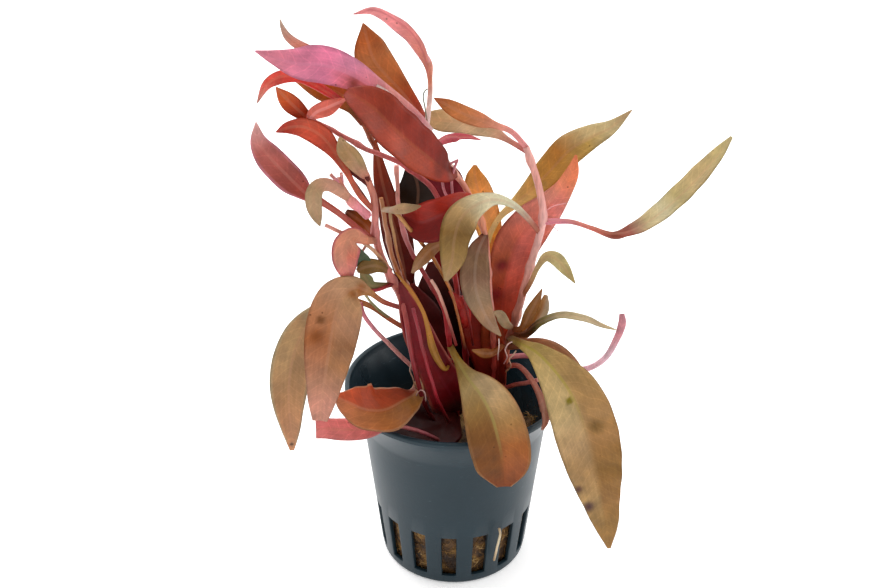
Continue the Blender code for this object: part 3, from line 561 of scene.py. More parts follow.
def tube_tree():
    """Ribbed skin swept along a curve, as thick as the curve's radius."""
    tree, given, output = geometry_tree("tube", Sides="Int", Rib_depth="Float", Wander="Float",
                                        Material="Material")
    ring = add_node(tree, "GeometryNodeCurvePrimitiveCircle", {"Resolution": given["Sides"],
                                                               "Radius": 1})
    index = add_node(tree, "GeometryNodeInputIndex")
    odd = add_node(tree, "ShaderNodeMath", {0: index.outputs[0], 1: 2.0}, operation="MODULO")
    dent = add_node(tree, "ShaderNodeMath", {0: odd.outputs[0], 1: given["Rib depth"]},
                    operation="MULTIPLY")
    inwards = add_node(tree, "ShaderNodeMath", {0: dent.outputs[0], 1: -1.0}, operation="MULTIPLY")
    place = add_node(tree, "GeometryNodeInputPosition")
    offset = add_node(tree, "ShaderNodeVectorMath", {0: place.outputs[0],
                                                     "Scale": inwards.outputs[0]}, operation="SCALE")
    ribbed = add_node(tree, "GeometryNodeSetPosition", {"Geometry": ring.outputs[0],
                                                        "Offset": offset.outputs[0]})
    factor = add_node(tree, "GeometryNodeSplineParameter")
    marked = add_node(tree, "GeometryNodeStoreNamedAttribute", {
        "Geometry": given["Geometry"], "Name": "along", "Value": factor.outputs[0]},
        domain="POINT")
    bent = add_node(tree, "GeometryNodeSetPosition", {
        "Geometry": marked.outputs[0], "Offset": wander_offset(tree, given["Wander"], 210)})
    thick = add_node(tree, "GeometryNodeInputRadius")
    skin = add_node(tree, "GeometryNodeCurveToMesh", {
        "Curve": bent.outputs[0], "Profile Curve": ribbed.outputs[0],
        "Scale": thick.outputs[0], "Fill Caps": True})
    soft = add_node(tree, "GeometryNodeSetShadeSmooth", {"Geometry": skin.outputs[0]})
    real = add_node(tree, "GeometryNodeRealizeInstances", {"Geometry": soft.outputs[0]})
    dyed = add_node(tree, "GeometryNodeSetMaterial", {"Geometry": real.outputs[0],
                                                      "Material": given["Material"]})
    tree.links.new(dyed.outputs[0], output.inputs[0])
    return tree


def curve_object(name, rows):
    """Curve object of one open poly spline through (x, y, z, radius) rows."""
    curve = bpy.data.curves.new(name, "CURVE")
    curve.dimensions = "3D"
    spline = curve.splines.new("POLY")
    spline.points.add(len(rows) - 1)
    for point, row in zip(spline.points, rows):
        point.co = (*row[:3], 1)
        point.radius = row[3]
    item = bpy.data.objects.new(name, curve)
    bpy.context.scene.collection.objects.link(item)
    return item


def ramp_colours(stops, share):
    """Linear colours at shares from 0 to 1 along evenly spaced sRGB stops, less the skin's shine."""
    table = np.array([srgb(stop) for stop in stops.split()])
    table[:, :3] = np.maximum(table[:, :3] - SKIN_SHINE, table[:, :3] * 0.6)
    at = np.linspace(0, 1, len(table))
    return np.stack([np.interp(share, at, channel) for channel in table.T], axis=1)


def store(mesh, name, kind, values):
    """Point attribute of a mesh; FLOAT_COLOR, FLOAT_VECTOR or FLOAT."""
    field = {"FLOAT_COLOR": "color", "FLOAT_VECTOR": "vector", "FLOAT": "value"}[kind]
    made = mesh.attributes.new(name, kind, "POINT")
    made.data.foreach_set(field, np.ascontiguousarray(values, dtype=np.float32).ravel())


def stem_tissue():
    """Fleshy stem skin: waxy, with fine streaks along it, darker flecks and a faint glow of light."""
    material, tree, output = new_material("stem_tissue")
    tissue = add_node(tree, "ShaderNodeAttribute", attribute_name="tissue").outputs["Color"]
    place = add_node(tree, "ShaderNodeTexCoord").outputs["Object"]
    # Streaks about 0.3 mm wide and 4 mm long, upright as the stems are
    long = add_node(tree, "ShaderNodeMapping", {"Vector": place, "Scale": (1900, 1900, 240)})
    streak = add_node(tree, "ShaderNodeTexNoise", {"Vector": long.outputs[0], "Scale": 1,
                                                   "Detail": 2})
    blotch = add_node(tree, "ShaderNodeTexNoise", {"Vector": place, "Scale": 330, "Detail": 3})
    light = add_node(tree, "ShaderNodeMapRange", {"Value": streak.outputs["Fac"], "From Min": 0.3,
                                                  "From Max": 0.7, "To Min": 0.82, "To Max": 1.16})
    dark = add_node(tree, "ShaderNodeMapRange", {"Value": blotch.outputs["Fac"], "From Min": 0.35,
                                                 "From Max": 0.65, "To Min": 0.86, "To Max": 1.1})
    level = add_node(tree, "ShaderNodeMath", {0: light.outputs[0], 1: dark.outputs[0]},
                     operation="MULTIPLY")
    colour = add_node(tree, "ShaderNodeVectorMath", {0: tissue, "Scale": level.outputs[0]},
                      operation="SCALE")
    bump = add_node(tree, "ShaderNodeBump", {"Height": streak.outputs["Fac"], "Strength": 0.35,
                                             "Distance": 0.0002})
    skin = add_node(tree, "ShaderNodeBsdfPrincipled", {
        "Base Color": colour.outputs[0], "Roughness": 0.42, "IOR": 1.35,
        "Coat Weight": 0.15, "Coat Roughness": 0.3, "Normal": bump.outputs[0]})
    through = add_node(tree, "ShaderNodeBsdfTranslucent", {"Color": colour.outputs[0]})
    both = add_node(tree, "ShaderNodeMixShader", {0: 0.15, 1: skin.outputs[0],
                                                  2: through.outputs[0]})
    tree.links.new(both.outputs[0], output.inputs[0])
    return material


def grow_stalk(name, rows, tint, sides, rib_depth, wander):
    """Ribbed stalk through rows of place and radius, coloured from its foot to its tip."""
    stalk = grow(curve_object(name, rows), tube, Sides=sides, Rib_depth=rib_depth, Wander=wander,
                 Material=stem_skin)
    along = np.empty(len(stalk.data.vertices), np.float32)
    stalk.data.attributes["along"].data.foreach_get("value", along)
    store(stalk.data, "tissue", "FLOAT_COLOR", ramp_colours(tint, along))
    return stalk


tube = tube_tree()
stem_skin = stem_tissue()
for stem_name, (stem_radius, stem_slot, stem_tint, stem_route) in STEMS.items():
    axis = stem_axis(stem_name)
    run = np.linspace(0, len(axis) * STEM_STEP, len(axis))
    first_joint = JOINT_SPACING * (0.3 + 0.1 * (len(stem_name) % 5))
    nearest = np.abs((run - first_joint + JOINT_SPACING / 2) % JOINT_SPACING - JOINT_SPACING / 2)
    axis[:, 3] *= 1 + JOINT_SWELL * np.exp(-(nearest / JOINT_LENGTH) ** 2)
    stem = grow_stalk(stem_name + "_skin", axis, stem_tint, STEM_SIDES, STEM_RIB_DEPTH, STEM_WANDER)
    finish_piece(stem, stem_slot, stem_name)


# Leaves: 49 thin opposite leaves, each a stalk that widens into a blade about 0.3 mm thick with a
# raised midrib beneath, forward-slanting side veins and a wavy margin. Lofted from routes read in
# the same way as the stems'; blade colours run from the stalk to the tip, left half / right half.
LEAF_STEP = 0.45 * MM
LEAF_THICKNESS = 0.28 * MM
LEAF_COLUMN = 0.75 * MM
LEAF_TIP_WIDTH = 0.15 * MM
STALK_WIDTH = 1.6
STALK_BLEND = 1.6
RIB_DEPTH = 0.42 * MM
RIB_HALF_WIDTH = 0.45 * MM
VEIN_SPACING = 2.3
VEIN_SLANT = 0.9
PILLOW = 0.05 * MM
RIPPLE = 0.045
RIB_LOOK = ("C89878", 0.22, 0, 1)
EDGE_WIDTH = 0.4 * MM
HALF_BLEND = 0.18
HALF_COLUMNS = (4, 12)
WAVE_LENGTHS = (5, 7.5)
WAVE_FADE = 5
FOLD_POWER = 1.2
RIB_TAPER = 0.75
STALK_ABOVE = 0.25
STALK_BELOW = 0.6
THICK_FROM = 0.6 * MM
RIB_FROM = 0.8 * MM
PILLOW_FROM = 3 * MM
EDGE_FROM = 1.2 * MM
SPOT_REACH = 1.2

LEAVES = {
    "leaf_top_arch": dict(on="stem_centre", slot="pink", turn=(40, 50), fold=25,
        rib=("B86C74", 0.45, 0.35, 1), edge="E4AEB2",
        tint="E0CCC8 DCC4BC C88870 CC9080 D89890 E0A0A0 E0A4A4 DCA0A0",
        route=[(429, 120, -7, 1.1), (430, 96, -6, 1.1), (430, 78, -6, 1.1), (427, 60, -6, 2.4),
               (415, 36, -6, 4.2), (397, 20, -6, 4), (374, 9, -6, 2.6), (353, 14, -6, 0.3)]),
    "leaf_top_upright": dict(on="stem_centre", slot="rust", turn=(10, -10), fold=12,
        tint="984024 A24420 AC4E28 B4683A BC7C4C BC8052 B8703C B06A38",
        route=[(427, 126, -6, 1.4), (416, 110, -3, 3), (402, 92, 0, 4.4), (386, 75, 1, 6.6),
               (374, 60, 2, 7.4), (368, 43, 2, 6), (363, 23, 1, 0.3)]),
    "leaf_magenta": dict(on="stem_centre", slot="magenta", turn=(10, -15), fold=18,
        rib=("E0A0B8", 0.3, 0.2, 0.9),
        # The pale neck stops and the paler right half are painted highlight, and the darker left half is
        # painted shade, over the leaf's own pinks.
        tint="E4C8C4 DCB0A8/CC9498 C06868/E4A8A4 B05850/E8B0A8 C87070/DC98A4 D47C88/DC98B0 DC8CA8 DC90A8 "
             "D890A0 DC94A4",
        # These two dark spots are painted shade in the fold of the lower half.
        spots=[(0.42, -0.6, 1.5, "8A3A3A"), (0.52, -0.5, 1.6, "9A4038")],
        route=[(429, 133, -9, 1.8), (413, 116, -12, 3), (396, 101, -13.5, 3), (375, 88, -14, 4.2),
               (348, 73, -15, 6.2), (322, 65, -16, 7.2), (298, 64, -16, 6), (275, 58, -16, 3),
               (255, 51, -15, 0.3)]),
    "leaf_rust_layer": dict(on="stem_back_left", slot="orange", turn=(0, 0), fold=8,
        tint="9A4A30 8A5A30 B86834 BC7434 C08058",
        route=[(362, 124, -2, 1.4), (354, 106, -4, 3.6), (338, 93, -5, 5.4), (318, 86, -5.5, 4.8),
               (293, 79, -6.5, 0.4)]),
    "leaf_thin_curl": dict(on="stem_back_left", slot="tan", turn=(20, 50), fold=25,
        tint="A86050 B8705C D88878 D88870 D09080 D0A090 C0B0A0",
        route=[(353, 110, -3, 1.2), (352, 88, -3, 2), (330, 60, -6, 2.8), (305, 46, -8, 3),
               (291, 37, -8.5, 2.6), (284, 28, -8.5, 1.5), (280, 19, -8.5, 0.3)]),
    "leaf_coral_hook": dict(on="stem_back_left", slot="coral", turn=(20, 30), fold=20,
        tint="B05048 C84848 D85048 D85850 D86858 C8A098",
        route=[(346, 103, -4, 1.1), (325, 90, -9, 1.8), (304, 78, -13.5, 2.2),
               (288, 75, -14.4, 2.8),
               (275, 78, -14.4, 2.8), (265, 86, -14, 2), (257, 103, -13, 0.3)]),
    "leaf_orange_tip": dict(on="stem_diagonal", slot="orange", turn=(0, 20), fold=15,
        tint="9A3818 A84818 B85020 C86838 B86038",
        route=[(312, 122, -16, 1.2), (303, 114, -16, 2.6), (292, 104, -16.5, 3.6),
               (284, 96, -16.5, 2.8),
               (276, 87, -16.5, 0.3)]),
    "leaf_coral_fold": dict(on="stem_diagonal", slot="coral", turn=(-20, -10), fold=20,
        rib=("F0B0A8", 0.5, 0, 1),
        tint="C86858 D87868 D87868 CC7060",
        route=[(307, 119, -17, 1.2), (316, 112, -18, 2.8), (328, 107, -18, 3.2), (337, 103, -18, 2),
               (346, 99, -17, 0.3)]),
    "leaf_coral_low": dict(on="stem_left", slot="coral", turn=(20, 20), fold=18,
        tint="C8705C CC7860 C86048 C05840 C86048 B83828",
        route=[(372, 212, -13, 1.2), (360, 195, -14, 1.2), (347, 172, -14.5, 1.4),
               (335, 152, -15.5, 2.8),
               (322, 136, -16.5, 4.6), (305, 127, -17.5, 4.2), (290, 127, -18, 2.8),
               (276, 132, -17, 0.3)]),
    "leaf_rust_front": dict(on="stem_centre", slot="rust", turn=(-20, -25), fold=10,
        rib=("B86838", 0.18, 0.3, 1),
        # The darker right-half stops are painted shade where the leaf's lower part lies in shadow.
        tint="8A3A1C/8A3018 A03818/7A2410 A84828/8E2E18 A84C2C/963820 A84A30/9A4028 A05040/9A4428 A85044",
        # The dark 7A2410 spot is painted shade.
        spots=[(0.62, -0.35, 2.6, "B05038"), (0.25, -0.2, 2.2, "7A2410")],
        route=[(455, 178, -10, 1.4), (445, 171, -13, 4.6), (430, 159, -16, 7.8),
               (411, 144, -18.5, 9),
               (392, 127, -20, 9), (374, 109, -20.5, 8.2), (358, 98, -20.5, 5.4),
               (346, 92, -19.5, 1.8)]),
    "leaf_pink_left": dict(on="stem_left", slot="coral", turn=(0, 20), fold=15,
        rib=("C88878", 0.3, 0, 0.9),
        edge="D08A98",
        tint="C07868 C07068 B86458 AC5A4C A4544A A8584E B87068 DCB4B0",
        route=[(376, 246, -12, 1.2), (357, 228, -15, 1.3), (340, 214, -16, 1.3),
               (322, 202, -17, 1.5),
               (308, 195, -19, 2.6), (296, 184, -20, 5), (283, 171, -21, 5.8), (269, 156, -21, 5.4),
               (259, 141, -20, 3.4), (256, 122, -18, 0.3)]),
    "leaf_grey_curl": dict(on="stem_left_branch", slot="olive", turn=(0, 0), fold=10,
        tint="CC9888 D0A088 D0A088 CCA088 B89C78 B89C7C AC9070 A89070",
        route=[(350, 199, -17, 1.4), (340, 191, -20.5, 2.2), (329, 185, -22, 2.4),
               (319, 186, -23, 2.8),
               (314, 194, -23.5, 3.2), (314, 206, -23.5, 3), (317, 217, -23, 2),
               (320, 226, -22, 0.3)]),
    "leaf_folded_tan": dict(on="stem_left", slot="tan", turn=(0, 20), fold=35,
        tint="D08878 D0A088 CCA884/BCA47C C4A478/B4946C BCA480",
        route=[(364, 180, -14, 1.4), (360, 168, -16, 3), (353, 157, -17, 4.4), (345, 147, -17, 4),
               (340, 137, -17, 0.8)]),
    "leaf_salmon": dict(on="stem_left", slot="coral", turn=(0, 20), fold=12, edge="C87078",
        tint="C47C70 CC8C70 D09478 D09478 C87C68/D09880 CC8880 D898A0",
        route=[(378, 246, -13, 1.3), (366, 240, -16, 1.8), (354, 236, -18.3, 3.6),
               (347, 244, -18.5, 5.6),
               (345, 257, -18.5, 5.6), (347, 270, -18, 3.8), (351, 283, -16.5, 0.6)]),
    "leaf_pale_small": dict(on="stem_left_second", slot="olive", turn=(10, 10), fold=15,
        tint="B08A60 B89C74 BCA484 B89C78 A08460",
        route=[(384, 213, -9, 1.1), (392, 210, -13, 1.4), (402, 209, -16, 2.2),
               (412, 208, -17, 1.6),
               (421, 206, -17, 0.3)]),
    "leaf_wine_fold": dict(on="stem_centre", slot="wine", turn=(15, 15), fold=25,
        rib=("A04848", 0.25, 0.2, 0.8),
        tint="B04840 B03C30/BC4A3C 9A2820/B4402C 8A2014/A83828 7A180E/982818",
        route=[(472, 200, -10, 1.6), (456, 206, -13, 6), (438, 216, -14, 9.4), (420, 222, -13, 7.6),
               (403, 215, -11, 0.6)]),
    "leaf_dark_olive": dict(on="stem_back_left", slot="olive", turn=(0, 10), fold=12,
        tint="4A1A14 442014 3A240E 361E08 301C08",
        route=[(403, 232, 6, 1.6), (414, 214, 4, 6.4), (418, 198, 2, 9.4), (417, 182, 1, 9),
               (408, 163, 0, 0.8)]),
    "leaf_orange_right": dict(on="stem_right", slot="orange", turn=(0, 0), fold=12,
        tint="E0A0A0 E0A0A0 D89C88 D0906C C88858 C88450 B8683C",
        route=[(525, 145, -4, 1.2), (512, 132, -3, 1.2), (495, 125, -3, 1.5), (480, 120, -3, 3),
               (462, 113, -3, 3.4), (447, 105, -3, 2.6), (434, 98, -3, 0.3)]),
    "leaf_olive_behind": dict(on="stem_right", slot="olive", turn=(0, 0), fold=10,
        tint="B8686A C89080 D0B898 D0B898 C8AC84 C4A880",
        route=[(524, 151, -3, 1.2), (508, 140, 0, 1.3), (494, 132, 2, 2.6), (478, 127, 3, 3.8),
               (458, 122, 4, 4.6), (440, 120, 4, 4.6), (426, 117, 4, 2.4), (416, 114, 4, 0.4)]),
    "leaf_thin_coral": dict(on="stem_centre", slot="coral", turn=(50, 60), fold=20,
        tint="C06068 C05860",
        route=[(436, 141, -7, 0.9), (447, 139, -5, 2), (458, 138, -4, 2.4), (470, 138, -3, 1.8),
               (481, 140, -2, 0.3)]),
    "leaf_olive_right": dict(on="stem_centre", slot="olive", turn=(0, 15), fold=15,
        tint="C8A868 CCAC70 D0B478 CCAC70 BC9450 B88848/C09854 CCB88C/B49858 C8B890 B8A07C",
        route=[(486, 242, -5, 1.2), (492, 230, -3, 1.2), (500, 217, 1, 1.4), (512, 206, 5, 2.2),
               (530, 191, 7, 4.4), (550, 171, 8, 6.6), (570, 150, 8.5, 7), (592, 137, 8.5, 5.4),
               (612, 127, 8, 3.2), (632, 110, 7, 0.3)]),
    "leaf_coral_right": dict(on="stem_right", slot="coral", turn=(-12, -5), fold=15,
        rib=("B85A50", 0.2, 0, 0.8),
        tint="B04838 B85C34/BC5C40 B04E38/C06450 B85C40/CC6C58 BC6848/D07868 C47058/D07C70 D08878/DC9080 "
             "DCA090/E09C94 DC9470 D88860",
        # These two dark wine spots are painted shade.
        spots=[(0.42, -0.35, 2.2, "8A2424"), (0.28, -0.5, 2.4, "8A2020")],
        route=[(505, 345, 4, 2.2), (502, 325, 4, 5), (503, 300, 3.5, 7.2), (508, 270, 3, 9),
               (516, 245, 2, 10), (530, 225, 1.5, 9.4), (548, 207, 1.5, 7), (563, 189, 1.5, 4.4),
               (572, 172, 2, 3), (576, 155, 2.5, 0.5)]),
    "leaf_amber": dict(on="stem_back", slot="amber", turn=(0, 0), fold=12,
        tint="B88048 D09048 DCAC60 E0AC70 DCA460 D8A058",
        route=[(491, 268, 9, 1.3), (492, 248, 6, 3.6), (489, 228, 4, 5.6), (483, 208, 3, 6.6),
               (478, 190, 3, 6), (475, 176, 3, 4.2), (475, 165, 3, 0.8)]),
    "leaf_sage_arch": dict(on="stem_right", slot="olive", turn=(20, 10), fold=15,
        tint="C07868 B07060 C0A898 C8C4AC D4D0B4 D8D0B4 D4C8A4 B89868 8A6834 9C7C48 AC8C5C B0946C",
        route=[(540, 234, -3, 1.2), (526, 216, -6, 1.3), (512, 204, -9, 1.6), (494, 199, -12, 2.6),
               (474, 206, -15, 5), (460, 220, -17, 7), (454, 240, -18, 6.2), (452, 260, -18, 4.8),
               (446, 281, -17, 0.8)]),
    "leaf_mauve": dict(on="stem_centre", slot="mauve", turn=(0, 0), fold=15,
        rib=("B89C88", 0.3, 0, 0.9),
        tint="7A5040 8A5C44 947458 98745C A08468 A88464 A88468 B49878",
        route=[(485, 241, -8, 1.4), (478, 252, -12, 4.4), (475, 271, -14, 6.2),
               (476, 290, -15, 5.8),
               (482, 308, -15, 4.4), (490, 323, -14, 2.8), (501, 336, -13, 0.3)]),
    "leaf_tan_ribbon": dict(on="stem_diagonal", slot="tan", turn=(20, 20), fold=10,
        tint="9A6048 A06C44 98683C 9C6C44 A08060",
        route=[(450, 247, -4, 1.3), (441, 244, -9, 2.2), (431, 249, -12, 3), (421, 260, -13, 2.8),
               (412, 273, -13, 0.6)]),
    "leaf_sword": dict(on="stem_right", slot="olive", turn=(40, 55), fold=10, ripple=0.02,
        tint="D8909C D8909C D0847C C87868 A05848 9A5848 C0B088 C4BA98 B4A474 BCA87C B8A478 B8A878 A89C74",
        route=[(543, 224, -4, 1.4), (558, 221, -4, 1.3), (573, 222, -3, 1.1), (592, 228, -2, 1.1),
               (614, 235, -1, 1.8), (636, 229, 0, 4.2), (660, 214, 0, 6), (685, 192, 1, 6.8),
               (706, 170, 1, 6.2), (722, 151, 1, 4), (732, 137, 1, 1)]),
    "leaf_small_olive": dict(on="stem_right", slot="olive", turn=(20, 0), fold=10, edge="C8C090",
        tint="B06A50 B07858 BCA478 C4B488 B8A878 A89860",
        route=[(521, 300, -1, 1.1), (530, 284, -3, 1.1), (538, 267, -4, 1.2), (546, 257, -5, 2),
               (556, 259, -6, 3), (565, 269, -6, 2.4), (575, 283, -6, 0.3)]),
    "leaf_low_pointed": dict(on="stem_right", slot="orange", turn=(0, 0), fold=15,
        tint="A05838 A06438 9A6A38 A07040",
        route=[(514, 336, -1, 1.1), (522, 328, -4, 1.6), (530, 313, -5, 2.6), (537, 300, -5, 1.8),
               (542, 289, -5, 0.3)]),
    "leaf_low_blunt": dict(on="stem_right", slot="tan", turn=(0, 0), fold=15,
        tint="A06040 A87848 A87848/C0B098 B08C60/C0B098",
        route=[(510, 340, 4, 1.1), (526, 335, 4, 1.6), (536, 321, 3, 2.6), (543, 308, 3, 3),
               (546, 295, 3, 1)]),
    "leaf_narrow_olive": dict(on="stem_right", slot="olive", turn=(50, 65), fold=10, ripple=0.02,
        tint="B06848 7A5038 5A4420 8A8050 B0A078 BCAC88 B8A480 B8A880",
        route=[(511, 332, 2, 1.3), (526, 333, -2, 1.8), (540, 323, -5, 2.6), (560, 316, -7, 3),
               (583, 319, -8, 3.2), (602, 326, -8, 2.2), (617, 330, -8, 0.3)]),
    "leaf_pink_rod": dict(on="stem_right", slot="pink", turn=(0, 0), fold=0,
        rib=("C88098", 0, 0, 1),
        tint="B86A68 C88488 D4A0A4 E4B8C0 E4C4CC E4CCD4 D8A4AC CC98A0",
        route=[(506, 352, 5, 1.2), (530, 356, 5, 1.2), (560, 366, 2.5, 1.3), (585, 369, 1, 1.4),
               (605, 358, 0, 1.4), (617, 338, 0, 1.6), (622, 324, 0, 1.8), (622, 314, 0, 1.2)]),
    "leaf_hanging_right": dict(on="stem_right", slot="tan", turn=(10, 0), fold=10,
        rib=("B8AC48", 0.6, 0.12, 0.42),
        tint="A8886C B49860/C0AC68 BCA468/C8B070 BC9C68/CCB480 B89464/CCB484 B08858/C4A478 9A7440/B89464 "
             "A88050/B89868 A88450 A8804C",
        spots=[(0.42, 0.15, 0.9, "8A7A18"), (0.8, 0.75, 1.8, "5A3A38"), (0.72, 0.85, 1.2, "6A4438"),
               (0.52, -0.35, 2.2, "86642E")],
        route=[(510, 350, -2, 1.5), (523, 345, -8, 2.2), (537, 353, -12, 4.4), (553, 369, -16, 8),
               (568, 389, -19, 11.4), (579, 412, -21, 13.2), (588, 440, -22, 13.4),
               (595, 470, -23, 11.6),
               (601, 500, -23, 8.2), (606, 524, -23, 5.4), (609, 548, -22, 0.8)]),
    "leaf_behind_right": dict(on="stem_right", slot="tan", turn=(0, 0), fold=10,
        tint="A87050 B08060 B88A68 B08868",
        route=[(508, 348, 2, 1.3), (530, 344, -1, 2.8), (548, 353, -4, 6), (563, 369, -7, 7.4),
               (575, 390, -10, 6.6), (584, 415, -12, 4.2), (590, 436, -13, 0.5)]),
    "leaf_pink_droop": dict(on="stem_right", slot="pink", turn=(30, 30), fold=20,
        tint="B05850 C06858 C8786C C47C70 C08070 B88878 B07868",
        route=[(503, 368, 3, 1.2), (518, 366, -5, 1.2), (530, 378, -10, 1.3), (538, 392, -14, 1.5),
               (543, 406, -17, 1.9), (545, 420, -19, 1.8), (542, 430, -20, 0.6)]),
    "leaf_hanging_front": dict(on="stem_middle", slot="orange", turn=(0, 0), fold=10,
        rib=("B8AC60", 0.55, 0.1, 0.72), edge="A87848",
        # The lighter of its two halves is a painted highlight: a soft glare across the leaf.
        tint="A08048 A8843C B0985C/A88C50 C0A880/B09868 C8AC80/AC8850 B8905C/94683C B07040/8A5A2C "
             "A8643C/885624 8A4C1C",
        route=[(452, 350, -7, 1.5), (459, 363, -12, 2), (468, 378, -17, 4.6),
               (481, 395, -21.5, 9.2),
               (491, 414, -25, 11.6), (497, 434, -27.2, 12.6), (501, 452, -28.4, 12.4),
               (503, 470, -29, 10.2), (504, 486, -29, 3.2)]),
    "leaf_hanging_left": dict(on="stem_left", slot="tan", turn=(0, 0), fold=12,
        tint="B85860 B85858 B86858 B07A4C BC8C5C/C09C74 C49C74/C09878 BC9070/B07C58 A87854/AC7048 "
             "B08058/B07C5C BC8C70 C89480 CC9884",
        spots=[(0.62, 0.55, 1.9, "8A4A10"), (0.42, -0.3, 1.6, "A06A3A"), (0.36, 0, 1.8, "A0622A"),
               (0.56, 0.5, 0.9, "7A4A20")],
        route=[(402, 312, -6, 1.1), (384, 302, -12, 1.1), (369, 292, -16, 1.6), (354, 288, -19, 5),
               (341, 300, -22, 9.4), (334, 322, -24, 10.8), (329, 350, -25, 10),
               (325, 378, -25, 7.8),
               (322, 400, -24.5, 5.8), (320, 420, -24, 3.2)]),
    "leaf_outer_left": dict(on="stem_left", slot="tan", turn=(0, 0), fold=12, edge="B8A888",
        tint="B86848 B87050 B07850 B88860 B49470 B8946C/B89C74 B08C64/B89870 B89068 C09470 C49470",
        spots=[(0.975, 0, 0.5, "1A0C08"), (0.45, 0.4, 2.2, "B4A484")],
        route=[(409, 332, -3, 1.1), (391, 320, -6, 1.1), (368, 305, -9, 1.2), (343, 300, -12, 1.6),
               (320, 312, -15, 4), (303, 332, -16, 7), (293, 358, -16.5, 8.4),
               (289, 385, -16.5, 8.2),
               (289, 408, -16.5, 6.4), (291, 430, -16.5, 4), (292, 450, -16, 1)]),
    "leaf_pink_low": dict(on="stem_left", slot="pink", turn=(-30, -20), fold=8,
        tint="B05858 C87474 D48884 DC8C88 DC8C88 D88884",
        route=[(428, 399, -4, 1.1), (413, 403, -10.5, 1.5), (397, 411, -14.3, 2.6),
               (381, 423, -18.8, 4),
               (362, 429, -21, 5.2), (342, 430, -21.8, 5), (326, 429, -22, 4.6),
               (316, 430, -22, 4)]),
    "leaf_orange_low": dict(on="stem_left", slot="orange", turn=(-36, -30), fold=12, edge="B88864",
        tint="C8B0A0/9A6820 C4A080/8A5A28 B08050/8A4420 9A6A38/A04A28 9A6434/A84E28 A86C40/B05430 "
             "B87850/B85838 B87858/C86A48",
        spots=[(0.2, 0.3, 1.8, "8A5818")],
        route=[(426, 384, -3, 1.4), (416, 392, -10.5, 3.8), (403, 401, -15.3, 8.6),
               (385, 410, -19.5, 12),
               (366, 410, -21.8, 11.2), (349, 403, -22, 7.8), (335, 396, -21.2, 1.2)]),
    "leaf_dark_inside": dict(on="stem_middle", slot="wine", turn=(-10, -10), fold=10,
        rib=("3A0E0A", 0, 0, 1),
        # Its even near-black brown is painted shade, where the leaf lies deep in the pot's mouth.
        tint="5A160E 5A160E 56140E 50180F",
        route=[(459, 411, 2, 2.4), (450, 417, -4, 9), (437, 423, -9, 12.5), (421, 428, -12, 11),
               (405, 430, -15, 6.5), (392, 430, -17.5, 0.8)]),
    "leaf_crown_wine": dict(on="stem_middle", slot="wine", turn=(0, 0), fold=12,
        rib=("9A3848", 0.15, 0, 0.8), edge="B86050",
        tint="5A0C10 6A0E14 7A101A 8A1820/7A141C 982232/7E161E 8E2430/943038 7E1C22",
        route=[(462, 416, -1, 3.4), (452, 397, -9, 10.5), (438, 373, -11, 8.2), (426, 350, -12, 7),
               (417, 330, -12, 6.4), (409, 308, -12, 4.6), (400, 282, -12, 0.8)]),
    "leaf_olive_low": dict(on="stem_left", slot="olive", turn=(0, 0), fold=15,
        tint="8A6040 8A6A3A 8A6A3A 8A6A3A",
        route=[(389, 272, -10, 1.3), (377, 266, -14, 2.6), (366, 267, -16, 3.2),
               (357, 271, -16, 0.8)]),
    "leaf_brown_left": dict(on="stem_left", slot="orange", turn=(0, 0), fold=15,
        tint="A85A34 A85A34 9A5C18 8A5014 5A2008",
        route=[(376, 234, -10, 1.2), (366, 226, -9, 2.8), (356, 218, -9, 3.2), (346, 211, -9, 1)]),
    "leaf_brown_behind": dict(on="stem_back_left", slot="rust", turn=(0, 0), fold=15,
        # The near-black stops by the stalk are painted shade, where this part lies in shadow behind the
        # crown.
        tint="5A1008 5A1008 6A1C0C 7A2C10 8A3A14 9A4A20",
        route=[(411, 305, 10, 1.4), (407, 284, 6, 3.4), (403, 262, 2.5, 5.4), (397, 236, 1, 6.6),
               (389, 208, -1, 5), (381, 176, -3, 3.4), (375, 140, -4.5, 0.6)]),
    "leaf_back_upper": dict(on="stem_centre", slot="wine", turn=(0, 0), fold=15,
        rib=("9A3040", 0, 0, 1),
        tint="9A3040 9A3040 8A2838 8A2838 7A2430",
        route=[(464, 205, -4, 1.4), (455, 193, -2, 5.6), (446, 180, -1, 6.8), (438, 167, -1, 5),
               (432, 156, -1, 0.8)]),
    "leaf_back_centre": dict(on="stem_back", slot="wine", turn=(0, 0), fold=15,
        rib=("8A2820", 0.3, 0.3, 1),
        # Its near-black wine is painted shade for the deep inside of the crown, over the leaf's own dark
        # red.
        tint="4A0C06 5A1008 6A1410 7A1C14 8A2A1C 8A2014 5A120A",
        # These bright red spots are painted highlights.
        spots=[(0.55, 0.2, 1.5, "C03030"), (0.62, -0.3, 1.2, "B02A28")],
        route=[(478, 392, 14, 1.8), (470, 362, 11, 7.6), (462, 330, 9, 10.6), (455, 296, 9, 10.8),
               (449, 262, 10, 8.4), (444, 228, 11, 0.6)]),
    "leaf_back_right": dict(on="stem_back", slot="wine", turn=(0, 0), fold=15,
        rib=("4A0A04", 0, 0, 1),
        # Its near-black wine is painted shade for the deep inside of the crown, over the leaf's own dark
        # red.
        tint="5A1008 6A180C 7A2014 7A200F 5A1008",
        route=[(483, 384, 15, 1.6), (489, 360, 15, 6.4), (492, 334, 15, 8.6), (492, 306, 16, 8.8),
               (489, 280, 17, 7.2), (484, 254, 18, 0.6)]),
    "leaf_back_hanging": dict(on="stem_back_left", slot="tan", turn=(0, 0), fold=12,
        tint="A88860 B09068 AC8458 A87C50 A87040",
        route=[(422, 334, 13, 1.4), (438, 314, 21, 2.4), (451, 308, 29, 6), (461, 322, 35, 9),
               (465, 346, 38, 8.4), (464, 376, 39, 0.8)]),
}


